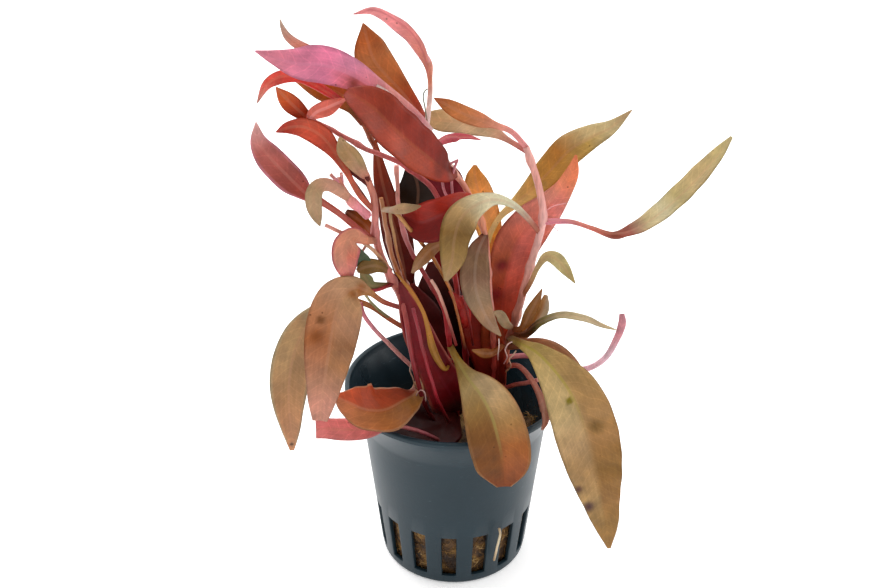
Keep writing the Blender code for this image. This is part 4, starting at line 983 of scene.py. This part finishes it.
def leaf_rows(leaf):
    """Places and widths along a leaf's midrib, from the axis of the stem that carries it."""
    rows = [(*seen(*point[:3]), point[3] * MM) for point in leaf["route"]]
    axis = stem_axis(leaf["on"])
    nearest = min(axis, key=lambda row: np.linalg.norm(row[:3] - np.array(rows[0][:3])))
    rows[0] = (*nearest[:3], rows[0][3])
    return smooth(rows, LEAF_STEP)


def unit(vectors):
    """Rows scaled to length one."""
    return vectors / np.linalg.norm(vectors, axis=1)[:, None]


def soft_step(value, low, high):
    """0 below low, 1 above high and an even S between."""
    t = np.clip((value - low) / (high - low), 0, 1)
    return t * t * (3 - 2 * t)


def half_colours(tint, share, column):
    """Colours over a blade, of the stops of its left and right halves."""
    sides = [[stop.split("/")[k] if "/" in stop else stop for stop in tint.split()] for k in (0, 1)]
    left, right = (ramp_colours(" ".join(stops), share) for stops in sides)
    blend = soft_step(column, -HALF_BLEND, HALF_BLEND)[:, None]
    return left * (1 - blend) + right * blend


def leaf_mesh(name, leaf, seed):
    """Closed thin shell of one leaf with its colours and its own coordinates as attributes."""
    rows = leaf_rows(leaf)
    count = len(rows)
    place = rows[:, :3]
    half = np.maximum(rows[:, 3], LEAF_TIP_WIDTH) / 2
    run = np.arange(count) * LEAF_STEP
    share = np.linspace(0, 1, count)
    dice = np.random.default_rng(seed)
    ahead = unit(np.gradient(place, axis=0))
    to_eye = unit(np.array(EYE) - place)
    up = unit(to_eye - ahead * np.sum(to_eye * ahead, axis=1)[:, None])
    side = np.cross(ahead, up)
    turn = np.radians(leaf["turn"][0] + (leaf["turn"][1] - leaf["turn"][0]) * share)[:, None]
    across = side * np.cos(turn) + up * np.sin(turn)
    above = up * np.cos(turn) - side * np.sin(turn)
    fold = math.radians(leaf["fold"])
    columns = 2 * int(np.clip(half.max() / LEAF_COLUMN, *HALF_COLUMNS)) + 1
    c = np.linspace(-1, 1, columns)[None, :]
    bulge = int(np.argmax(half))
    stalk = np.where(np.arange(count) < bulge,
                     1 - soft_step(half * 2 / MM, STALK_WIDTH, STALK_WIDTH + STALK_BLEND), 0)[:, None]
    wave = dice.uniform(*WAVE_LENGTHS, 2) * MM
    phase = dice.uniform(0, math.tau, 2)
    ends = np.minimum(1, np.minimum(share, 1 - share) * WAVE_FADE)[:, None]
    ripple = np.where(c < 0, np.sin(math.tau * run[:, None] / wave[0] + phase[0]),
                      np.sin(math.tau * run[:, None] / wave[1] + phase[1]))
    x = c * half[:, None]
    amplitude = leaf.get("ripple", RIPPLE)
    height = half[:, None] * math.sin(fold) * np.abs(c) ** FOLD_POWER
    height = height + amplitude * half[:, None] * ripple * c ** 2 * ends
    vein = (run[:, None] - VEIN_SLANT * np.abs(x)) / (VEIN_SPACING * MM)
    pillow = PILLOW * np.minimum(1, half[:, None] / PILLOW_FROM) * (1 - np.abs(c) ** 3) * (1 - stalk)
    height = height - pillow * np.cos(math.tau * vein) * np.minimum(1, np.abs(x) / MM)
    round_off = np.sqrt(np.maximum(0, 1 - c ** 2))
    thick = LEAF_THICKNESS / 2 * np.minimum(1, half[:, None] / THICK_FROM) * round_off ** 0.5
    rib = RIB_DEPTH * (1 - RIB_TAPER * share[:, None]) * np.exp(-(x / RIB_HALF_WIDTH) ** 2)
    rib = rib * np.minimum(1, half[:, None] / RIB_FROM) * round_off
    body = half[:, None] * 2
    top = thick * (1 - stalk) + STALK_ABOVE * body * round_off * stalk
    low = (thick + rib) * (1 - stalk) + STALK_BELOW * body * round_off * stalk
    flat = x * math.cos(fold)
    centre = place[:, None, :] + across[:, None, :] * flat[:, :, None]
    upper = centre + above[:, None, :] * (height + top)[:, :, None]
    lower = centre + above[:, None, :] * (height - low)[:, :, None]
    number = np.arange(count * columns).reshape(count, columns)
    inner = np.arange(count * (columns - 2)).reshape(count, columns - 2) + count * columns
    below = np.concatenate([number[:, :1], inner, number[:, -1:]], axis=1)
    faces = []
    for i in range(count - 1):
        for j in range(columns - 1):
            faces.append((number[i, j], number[i, j + 1], number[i + 1, j + 1], number[i + 1, j]))
            faces.append((below[i, j + 1], below[i, j], below[i + 1, j], below[i + 1, j + 1]))
    faces.append((*number[0, ::-1], *inner[0]))
    faces.append((*number[-1], *inner[-1, ::-1]))
    points = np.concatenate([upper.reshape(-1, 3), lower[:, 1:-1].reshape(-1, 3)])
    mesh = bpy.data.meshes.new(name)
    mesh.from_pydata(points.tolist(), [], [tuple(int(v) for v in face) for face in faces])
    mesh.update()
    both = [(np.broadcast_to(grid, x.shape), np.broadcast_to(grid, x.shape)[:, 1:-1])
            for grid in (run[:, None], x, c, share[:, None], half[:, None])]
    run_all, x_all, c_all, share_all, half_all = (
        np.concatenate([full.ravel(), cut.ravel()]) for full, cut in both)
    # On some leaves the two halves' colours carry painted shade and painted highlight as well as their own
    # colouring.
    paint = half_colours(leaf["tint"], share_all, c_all)
    if "edge" in leaf:
        near = soft_step(np.abs(x_all), half_all - EDGE_WIDTH, half_all - EDGE_WIDTH / 3)
        near = near * (half_all > EDGE_FROM)
        paint = paint * (1 - near[:, None]) + np.array(srgb(leaf["edge"])) * near[:, None]
    # Spots are partly the leaves' own blemishes, and partly painted shade and painted highlight.
    for spot_share, spot_column, size, code in leaf.get("spots", []):
        here = int(spot_share * (count - 1))
        away = np.hypot(run_all - run[here], x_all - spot_column * half[here]) / (size * MM)
        near = (1 - soft_step(away, 0.5 if size < 1 else 0.1, SPOT_REACH))[:, None]
        paint = paint * (1 - near) + np.array(srgb(code)) * near
    store(mesh, "tissue", "FLOAT_COLOR", paint)
    store(mesh, "blade", "FLOAT_VECTOR", np.stack([run_all / MM, x_all / MM, c_all], axis=1))
    rib_code, rib_strength, rib_from, rib_to = leaf.get("rib", RIB_LOOK)
    rib_paint = np.tile(np.array(srgb(rib_code)), (len(points), 1))
    rib_paint[:, 3] = rib_strength * (soft_step(share_all, rib_from - 0.08, rib_from + 0.08)
                                      * (1 - soft_step(share_all, rib_to - 0.15, rib_to + 0.15)))
    store(mesh, "rib", "FLOAT_COLOR", rib_paint)
    mesh.shade_smooth()
    return mesh


def leaf_tissue():
    """Thin wet leaf: satin skin over tissue that glows where light passes; side veins a little paler,
    a net of finer veins between them, uneven pigment in blotches and a few brown pinpricks."""
    material, tree, output = new_material("leaf_tissue")
    tissue = add_node(tree, "ShaderNodeAttribute", attribute_name="tissue").outputs["Color"]
    blade = add_node(tree, "ShaderNodeAttribute", attribute_name="blade").outputs["Vector"]
    ridge = add_node(tree, "ShaderNodeAttribute", attribute_name="rib")
    place = add_node(tree, "ShaderNodeTexCoord").outputs["Object"]
    part = add_node(tree, "ShaderNodeSeparateXYZ", {0: blade})
    aside = add_node(tree, "ShaderNodeMath", {0: part.outputs["Y"]}, operation="ABSOLUTE")
    wobble = add_node(tree, "ShaderNodeTexNoise", {"Vector": place, "Scale": 260, "Detail": 1})
    # Side veins every 2.3 mm, slanting forward
    slant = add_node(tree, "ShaderNodeMath", {0: aside.outputs[0], 1: -VEIN_SLANT,
                                              2: part.outputs["X"]}, operation="MULTIPLY_ADD")
    spaced = add_node(tree, "ShaderNodeMath", {0: slant.outputs[0], 1: 1 / VEIN_SPACING,
                                               2: wobble.outputs["Fac"]}, operation="MULTIPLY_ADD")
    swing = add_node(tree, "ShaderNodeMath", {0: spaced.outputs[0], 1: 0.5}, operation="PINGPONG")
    vein = add_node(tree, "ShaderNodeMapRange", {"Value": swing.outputs[0], "From Min": 0.02,
                                                 "From Max": 0.1, "To Min": 1, "To Max": 0},
                    interpolation_type="SMOOTHSTEP")
    # Net of cells about 0.8 mm across
    cell = add_node(tree, "ShaderNodeTexVoronoi", {"Vector": place, "Scale": 1300},
                    feature="DISTANCE_TO_EDGE")
    net = add_node(tree, "ShaderNodeMapRange", {"Value": cell.outputs["Distance"],
                                                "From Min": 0.02, "From Max": 0.12,
                                                "To Min": 1.05, "To Max": 0.985})
    # Pigment blotches of 2 to 4 mm
    cloud = add_node(tree, "ShaderNodeTexNoise", {"Vector": place, "Scale": 270, "Detail": 3})
    blotch = add_node(tree, "ShaderNodeMapRange", {"Value": cloud.outputs["Fac"], "From Min": 0.32,
                                                   "From Max": 0.68, "To Min": 0.84, "To Max": 1.14})
    # Streaks along the blade
    drawn = add_node(tree, "ShaderNodeVectorMath", {0: blade, 1: (0.18, 2.2, 0)},
                     operation="MULTIPLY")
    streak = add_node(tree, "ShaderNodeTexNoise", {"Vector": drawn.outputs[0], "Scale": 1,
                                                   "Detail": 3})
    run = add_node(tree, "ShaderNodeMapRange", {"Value": streak.outputs["Fac"], "From Min": 0.35,
                                                "From Max": 0.65, "To Min": 0.93, "To Max": 1.06})
    level = add_node(tree, "ShaderNodeMath", {0: net.outputs[0], 1: blotch.outputs[0]},
                     operation="MULTIPLY")
    whole = add_node(tree, "ShaderNodeMath", {0: level.outputs[0], 1: run.outputs[0]},
                     operation="MULTIPLY")
    pigment = add_node(tree, "ShaderNodeVectorMath", {0: tissue, "Scale": whole.outputs[0]},
                       operation="SCALE")
    paler = add_node(tree, "ShaderNodeVectorMath", {0: pigment.outputs[0], "Scale": 1.12},
                     operation="SCALE")
    veined = add_node(tree, "ShaderNodeMix", {"Factor": vein.outputs[0], 6: pigment.outputs[0],
                                              7: paler.outputs[0]}, data_type="RGBA")
    # Midrib 0.5 mm wide
    mid = add_node(tree, "ShaderNodeMapRange", {"Value": aside.outputs[0], "From Min": 0.18,
                                                "From Max": 0.42, "To Min": 1, "To Max": 0},
                   interpolation_type="SMOOTHSTEP")
    strength = add_node(tree, "ShaderNodeMath", {0: mid.outputs[0], 1: ridge.outputs["Alpha"]},
                        operation="MULTIPLY")
    ribbed = add_node(tree, "ShaderNodeMix", {"Factor": strength.outputs[0], 6: veined.outputs[2],
                                              7: ridge.outputs["Color"]}, data_type="RGBA")
    # Pinpricks under half a millimetre
    prick = add_node(tree, "ShaderNodeTexVoronoi", {"Vector": place, "Scale": 520})
    dot = add_node(tree, "ShaderNodeMapRange", {"Value": prick.outputs["Distance"],
                                                "From Min": 0.07, "From Max": 0.13,
                                                "To Min": 1, "To Max": 0})
    rare = add_node(tree, "ShaderNodeMapRange", {"Value": cloud.outputs["Fac"], "From Min": 0.56,
                                                 "From Max": 0.62})
    few = add_node(tree, "ShaderNodeMath", {0: dot.outputs[0], 1: rare.outputs[0]},
                   operation="MULTIPLY")
    speck = add_node(tree, "ShaderNodeMath", {0: few.outputs[0], 1: 0.6}, operation="MULTIPLY")
    colour = add_node(tree, "ShaderNodeMix", {"Factor": speck.outputs[0], 6: ribbed.outputs[2],
                                              7: srgb("3A1C0C")}, data_type="RGBA")
    relief = add_node(tree, "ShaderNodeMath", {0: vein.outputs[0], 1: -0.25,
                                               2: cell.outputs["Distance"]},
                      operation="MULTIPLY_ADD")
    bump = add_node(tree, "ShaderNodeBump", {"Height": relief.outputs[0], "Strength": 0.22,
                                             "Distance": 0.0002})
    gloss = add_node(tree, "ShaderNodeMapRange", {"Value": cloud.outputs["Fac"], "From Min": 0.3,
                                                  "From Max": 0.7, "To Min": 0.36, "To Max": 0.52})
    skin = add_node(tree, "ShaderNodeBsdfPrincipled", {
        "Base Color": colour.outputs[2], "Roughness": gloss.outputs[0], "IOR": 1.38,
        "Normal": bump.outputs[0]})
    through = add_node(tree, "ShaderNodeBsdfTranslucent", {"Color": colour.outputs[2]})
    both = add_node(tree, "ShaderNodeMixShader", {0: 0.45, 1: skin.outputs[0],
                                                  2: through.outputs[0]})
    tree.links.new(both.outputs[0], output.inputs[0])
    return material


def add_leaf(name, leaf, seed, *nodes):
    """Finished leaf piece, in place of its CAD node if it has one."""
    mesh = leaf_mesh(name, leaf, seed)
    mesh.materials.append(leaf_skin)
    blade = bpy.data.objects.new(name, mesh)
    bpy.context.scene.collection.objects.link(blade)
    finish_piece(blade, leaf["slot"], *nodes)


leaf_skin = leaf_tissue()
for leaf_number, (leaf_name, leaf_data) in enumerate(LEAVES.items()):
    add_leaf(leaf_name + "_blade", leaf_data, leaf_number, leaf_name)


# Crown leaves: small leaves and leaf margins packed between the stems above the pot, too many and
# too overlaid to be solids of their own; the darkest also stand as dark sheets of painted shade for the
# crown's deep inside. They grow from the stems as the larger leaves do.
CROWN_LEAVES = {
    "crown_dark_left": dict(on="stem_middle", slot="wine", turn=(0, 0), fold=5,
        rib=("3A0A08", 0, 0, 1),
        # Its near-black wine is painted shade for the crown's deep inside, over the leaf's own red.
        tint="4A0C0A 5A100C 6A1410 5A100C 7A2018",
        route=[(456, 408, 3, 2.4), (441, 375, 1, 8.5), (430, 342, 0, 10), (421, 312, 0, 8),
               (412, 284, 0, 1)]),
    "crown_dark_middle": dict(on="stem_diagonal", slot="wine", turn=(0, 0), fold=5,
        rib=("3A0A08", 0, 0, 1),
        # Its near-black wine is painted shade for the crown's deep inside, over the leaf's own red.
        tint="4A0C0A 500E0A 3A0A08 2A0A06 4A1810 6A1C14",
        route=[(470, 408, 7, 2.4), (457, 370, 5, 9), (446, 330, 4, 11), (437, 292, 4, 10),
               (430, 262, 4, 1)]),
    "crown_red_right": dict(on="stem_centre", slot="rust", turn=(0, 0), fold=8,
        rib=("8A3020", 0.2, 0.2, 1),
        tint="5A0E0C 7A1C14 8A2814 9A3018 8A2014 6A120E",
        route=[(492, 398, 1, 2), (487, 368, -1, 5.4), (482, 340, -2, 7.4), (474, 314, -3, 7),
               (466, 290, -4, 1)]),
    "crown_rust_edge": dict(on="stem_right", slot="rust", turn=(0, 0), fold=8,
        rib=("A04828", 0.2, 0.2, 1),
        tint="7A2418 8A2C18 9A3C1C A84C24 A85028",
        route=[(503, 392, 3, 1.8), (496, 365, 0, 4.6), (493, 342, -2, 5.6), (491, 320, -3, 4),
               (489, 300, -4, 0.8)]),
    "crown_ochre_rim": dict(on="stem_middle", slot="amber", turn=(20, -30), fold=20,
        rib=("C89048", 0.4, 0, 1),
        tint="8A3020 8A5A18 8A6018 9A6A20 B07830 B87C38 B87C3C B88040",
        route=[(452, 376, -10, 0.5), (446, 369, -14, 0.9), (438, 360, -15, 1.5),
               (432, 346, -15, 1.7),
               (428, 329, -15, 1.2), (423, 312, -15, 0.9), (414, 296, -14.5, 0.9),
               (404, 283, -14, 0.8),
               (395, 272, -13, 0.3)]),
    "crown_ochre_leaf": dict(on="stem_right", slot="amber", turn=(0, 0), fold=15,
        tint="A05838 A8602C 9A5820 A06A30",
        route=[(502, 352, -2, 0.8), (494, 352, -8, 1.6), (483, 353, -10, 2.2),
               (472, 350, -11, 0.4)]),
    "crown_tan_bit": dict(on="stem_right", slot="tan", turn=(0, 0), fold=10,
        tint="A06850 B09070 B09878 A89070",
        route=[(508, 336, -2, 0.8), (506, 324, -7, 2), (500, 315, -8, 2.2), (493, 312, -9, 0.4)]),
    "crown_red_edge": dict(on="stem_diagonal", slot="coral", turn=(10, 10), fold=15,
        rib=("C05040", 0.3, 0, 1),
        tint="8A1C18 A82A24 B8342C A82A20",
        route=[(463, 335, -2, 0.8), (466, 322, -7, 2), (464, 308, -8, 2.6), (456, 298, -9, 1.8),
               (449, 291, -9, 0.4)]),
    "leaf_bit_green": dict(on="stem_left", slot="olive", turn=(10, 10), fold=10,
        rib=("607050", 0, 0, 1),
        tint="4A4030 506040 5A6850 687058",
        route=[(378, 268, -10, 0.8), (368, 266, -14, 2.4), (361, 258, -16, 3.2),
               (356, 245, -16.5, 0.5)]),
    "leaf_bit_brown": dict(on="stem_left", slot="rust", turn=(10, 10), fold=10,
        rib=("7A2A0C", 0, 0, 1),
        tint="7A2A14 6A1C08 7A2A0C 8A3A1C",
        route=[(370, 188, -12.5, 0.8), (362, 175, -13.5, 2.4), (350, 164, -14, 3),
               (340, 158, -14.5, 2.4),
               (330, 151, -15, 0.4)]),
    "leaf_bit_olive": dict(on="stem_left", slot="olive", turn=(0, 0), fold=10,
        tint="8A5A38 7A7048 8A8860 9A9068",
        route=[(384, 292, -9, 0.8), (373, 286, -13, 2), (366, 279, -14, 2.6),
               (360, 271, -15, 0.4)]),
}
for crown_number, (crown_name, crown_data) in enumerate(CROWN_LEAVES.items()):
    add_leaf(crown_name, crown_data, 200 + crown_number)


# Bare stalks, young shoot tips and roots: the short leftovers between the leaves. Stalks are soft
# pink or tan threads under 1 mm thick that grow from the stems; the roots are finer, pale and curled.
TWIG_SIDES = 8
TWIG_RIB_DEPTH = 0.05
TWIG_WANDER = 0.3 * MM

# Radius in mm, the slot of its finish, colours and route as for the stems
TWIGS = {
    # Its pale pinkish white is painted highlight: the glint along the magenta leaf's stalk.
    "stalk_magenta": (0.5, "pink", "E0C8C0 E0C4BC D8A8A4", [
        (376, 86, -14), (390, 94, -13.5), (408, 110, -12), (420, 122, -10), (428, 133, -8)]),
    "stalk_pair_left": (0.28, "pink", "C07078 D08890 C87880", [
        (458, 160, -9.5), (449, 165, -10), (443, 178, -9.5), (444, 190, -8), (449, 200, -7)]),
    "stalk_pair_right": (0.28, "pink", "C87880 D89098 C87880", [
        (457, 161, -9.5), (453, 172, -10), (452, 185, -9.5), (453, 198, -8)]),
    "stalk_long_pink": (0.5, "pink", "C06870 C8808A C8908A C8908A B87878 8A4040", [
        (360, 303, -11), (364, 315, -11), (376, 331, -10), (390, 345, -8.5), (405, 360, -6.5),
        (418, 373, -4), (427, 384, -1)]),
    "stalk_short_red": (0.4, "coral", "7A2020 A03030 B04048", [
        (393, 283, -9), (385, 287, -11), (377, 290, -13.5), (369, 291, -15)]),
    "stalk_green": (0.3, "olive", "A09870 8A8A60 8A7A58", [
        (366, 296, -14), (373, 304, -12), (380, 311, -10), (388, 317, -7)]),
    "stalk_tan_left": (0.42, "tan", "A86840 C08860 C89878 D0A088 D8988C", [
        (391, 270, -8), (380, 258, -12), (372, 249, -14), (360, 241, -15), (345, 234, -16),
        (334, 229, -17), (325, 225, -17)]),
    "stalk_branch": (0.3, "tan", "B87060 C08070 C89080", [
        (377, 236, -12), (371, 241, -13), (366, 246, -14), (362, 252, -14.5)]),
    "stalk_stub": (0.5, "pink", "A04040 B05A50 C07068 C88078", [
        (505, 388, 0), (514, 385, -3), (526, 383, -6), (538, 380, -8)]),
    "stalk_dark_left": (0.4, "rust", "8A4A28 7A3A1C 5A2810 6A3018", [
        (377, 216, -11), (366, 200, -11), (355, 184, -12), (344, 168, -13), (340, 158, -13)]),
    "young_tip_left": (0.35, "pink", "D8889C D8909C D89888", [
        (341, 187, -18), (338, 182, -18.5), (333, 177, -19), (330, 174, -19)]),
    "young_tip_right": (0.32, "pink", "D8889C D8909C E0A8A0", [
        (342, 188, -17), (342, 180, -17.5), (341, 173, -18)]),
    "stalk_brown": (0.42, "tan", "8A5A30 A06838 A86838 B07848 B88858", [
        (452, 292, -2), (443, 275, -6), (432, 256, -9), (420, 241, -12), (408, 227, -14),
        (399, 216, -14), (394, 211, -14)]),
    "stalk_brown_branch": (0.35, "tan", "8A4028 9A5838 A87048 B09068", [
        (408, 290, -4), (402, 270, -8), (397, 252, -11), (394, 235, -12), (391, 222, -12),
        (390, 212, -12)]),
    "stalk_wine_left": (0.55, "wine", "4A0A0C 6A1218 7A2028 8A2C34 9A4040 B86860", [
        (436, 424, -8), (424, 402, -12), (417, 378, -14), (411, 350, -14.5), (407, 325, -14),
        (402, 303, -12), (397, 290, -10)]),
    "stalk_wine_middle": (0.4, "wine", "5A0C12 8A1C28 A03040 8A2830 9A4048", [
        (449, 422, -9), (438, 400, -14.5), (430, 375, -15.5), (423, 350, -16), (418, 328, -15.5),
        (413, 308, -14)]),
    "stalk_crown_pale": (0.35, "pink", "8A2A28 A86058 C08878 D8A898", [
        (456, 345, -8.5), (450, 325, -9.5), (444, 307, -11), (437, 290, -12), (431, 280, -12)]),
    "stalk_crown_brown": (0.3, "tan", "6A2A14 9A5A28 9A5A28 A86838", [
        (465, 348, -9), (460, 325, -10.5), (455, 305, -11.5), (450, 290, -12), (446, 281, -13)]),
    "stalk_crown_dark": (0.3, "rust", "5A1008 7A1810 8A2018", [
        (473, 345, -6), (470, 325, -8), (466, 308, -9), (462, 296, -10)]),
    "stalk_grey_thread": (0.16, "olive", "A08070 8A8A78 8A9080 9AA090", [
        (427, 122, -8), (425, 108, -8.5), (423, 98, -9), (424, 92, -9), (427, 89, -9)]),
    "stalk_pink_sliver": (0.5, "pink", "6A2420 B05860 C07070 C07070", [
        (438, 440, -16), (424, 433, -17.5), (408, 428, -18.5), (392, 425, -19.5), (386, 423, -20)]),
    "root_left": (0.17, "tan", "8A5A48 A87868 B88878", [
        (424, 395, -8), (418, 385, -11), (415, 373, -12.5), (412, 361, -12.5), (413, 350, -12)]),
    "root_left_pale": (0.15, "pink", "A87878 C8A098 D8B8B0", [
        (416, 401, -12), (417, 394, -13), (421, 390, -14), (425, 393, -14), (426, 401, -13)]),
    "root_left_long": (0.15, "tan", "7A4A3A A08068 B89888", [
        (420, 392, -9), (415, 386, -12), (413, 378, -12.5), (410, 371, -12.5), (411, 364, -12)]),
    "root_right": (0.14, "pink", "A86860 D8B8B0 E8D0C8", [
        (498, 360, -8), (498, 353, -9), (499, 346, -9), (499, 339, -8.5)]),
    "root_right_pale": (0.15, "pink", "A87070 D0A8A0 E0C0B8", [
        (504, 364, -7), (507, 357, -8), (505, 350, -8.5), (508, 344, -8.5), (512, 342, -8)]),
    "root_right_low": (0.16, "tan", "8A5A40 B89078 C8A890", [
        (506, 372, -7), (511, 366, -8), (509, 360, -8.5), (513, 355, -8.5), (516, 351, -8)]),
    "root_slot": (0.28, "tan", "A88A68 C8B090 D8C8A8 B09878", [
        (494, 560, -17), (496, 552, -18), (498, 543, -18), (500, 534, -18), (499, 528, -17.5)]),
    "hair_high": (0.08, "pink", "D8989C D8A0A0", [(543, 213, -4), (554, 206, -5), (566, 203, -5.5)]),
    "hair_low": (0.08, "pink", "D8989C C88088", [(547, 222, -4.5), (554, 227, -5), (559, 232, -5.5)]),
}
for twig_name, (twig_radius, twig_slot, twig_tint, twig_route) in TWIGS.items():
    twig_rows = smooth([(*seen(*point), twig_radius * MM) for point in twig_route], STEM_STEP)
    twig = grow_stalk(twig_name, twig_rows, twig_tint, TWIG_SIDES, TWIG_RIB_DEPTH, TWIG_WANDER)
    finish_piece(twig, twig_slot)


# Stage: a plain pale floor that is lit a little from beneath, in a white tent with soft light from
# behind and the right, seen from the front and above.
TENT_FRONT = 0.75
TENT_BACK = 1.6
FLOOR_GLOW = 0.25


def area_light(name, place, aim, size, power, colour="FFFFFF"):
    """Square soft light that faces a point."""
    data = bpy.data.lights.new(name, "AREA")
    data.shape = "SQUARE"
    data.size = size
    data.energy = power
    data.color = srgb(colour)[:3]
    lamp = bpy.data.objects.new(name, data)
    lamp.location = place
    lamp.rotation_euler = (Vector(aim) - Vector(place)).to_track_quat("-Z", "Y").to_euler()
    bpy.context.scene.collection.objects.link(lamp)


floor_mesh = bpy.data.meshes.new("floor")
floor_mesh.from_pydata([(-2, -2, 0), (2, -2, 0), (2, 3, 0), (-2, 3, 0)], [], [(0, 1, 2, 3)])
paper, paper_tree, paper_output = new_material("white_paper")
paper_shader = add_node(paper_tree, "ShaderNodeBsdfPrincipled", {"Base Color": srgb("FCFCFC"),
                                                                 "Roughness": 0.8,
                                                                 "Emission Color": srgb("FFFFFF"),
                                                                 "Emission Strength": FLOOR_GLOW})
paper_tree.links.new(paper_shader.outputs[0], paper_output.inputs[0])
floor_mesh.materials.append(paper)
floor = bpy.data.objects.new("floor", floor_mesh)
bpy.context.scene.collection.objects.link(floor)

area_light("key_light", (-0.3, 0.35, 0.9), (0, 0, 0.06), 0.7, 5)
area_light("side_light", (0.8, 0.1, 0.35), (0, 0, 0.06), 0.5, 2)
# The white tent round the plant is dimmer on the side where the camera looks in
world = bpy.data.worlds.new("studio")
world.use_nodes = True
tent = world.node_tree
tent_way = add_node(tent, "ShaderNodeSeparateXYZ", {
    0: add_node(tent, "ShaderNodeTexCoord").outputs["Generated"]})
tent_level = add_node(tent, "ShaderNodeMapRange", {"Value": tent_way.outputs["Y"], "From Min": -0.8,
                                                   "From Max": 0.5, "To Min": TENT_FRONT,
                                                   "To Max": TENT_BACK})
tent.nodes["Background"].inputs["Color"].default_value = srgb("FFFFFF")
tent.links.new(tent_level.outputs[0], tent.nodes["Background"].inputs["Strength"])
bpy.context.scene.world = world
bpy.context.scene.view_settings.view_transform = "Standard"

camera_data = bpy.data.cameras.new("camera")
camera_data.sensor_width = 36
camera_data.lens = 36 * PICTURE_FOCAL / (2 * PICTURE_CENTRE[0])
camera_data.clip_start = 0.01
camera = bpy.data.objects.new("camera", camera_data)
camera.location = EYE
camera.rotation_euler = (math.pi / 2 - EYE_PITCH, 0, 0)
bpy.context.scene.collection.objects.link(camera)
bpy.context.scene.camera = camera
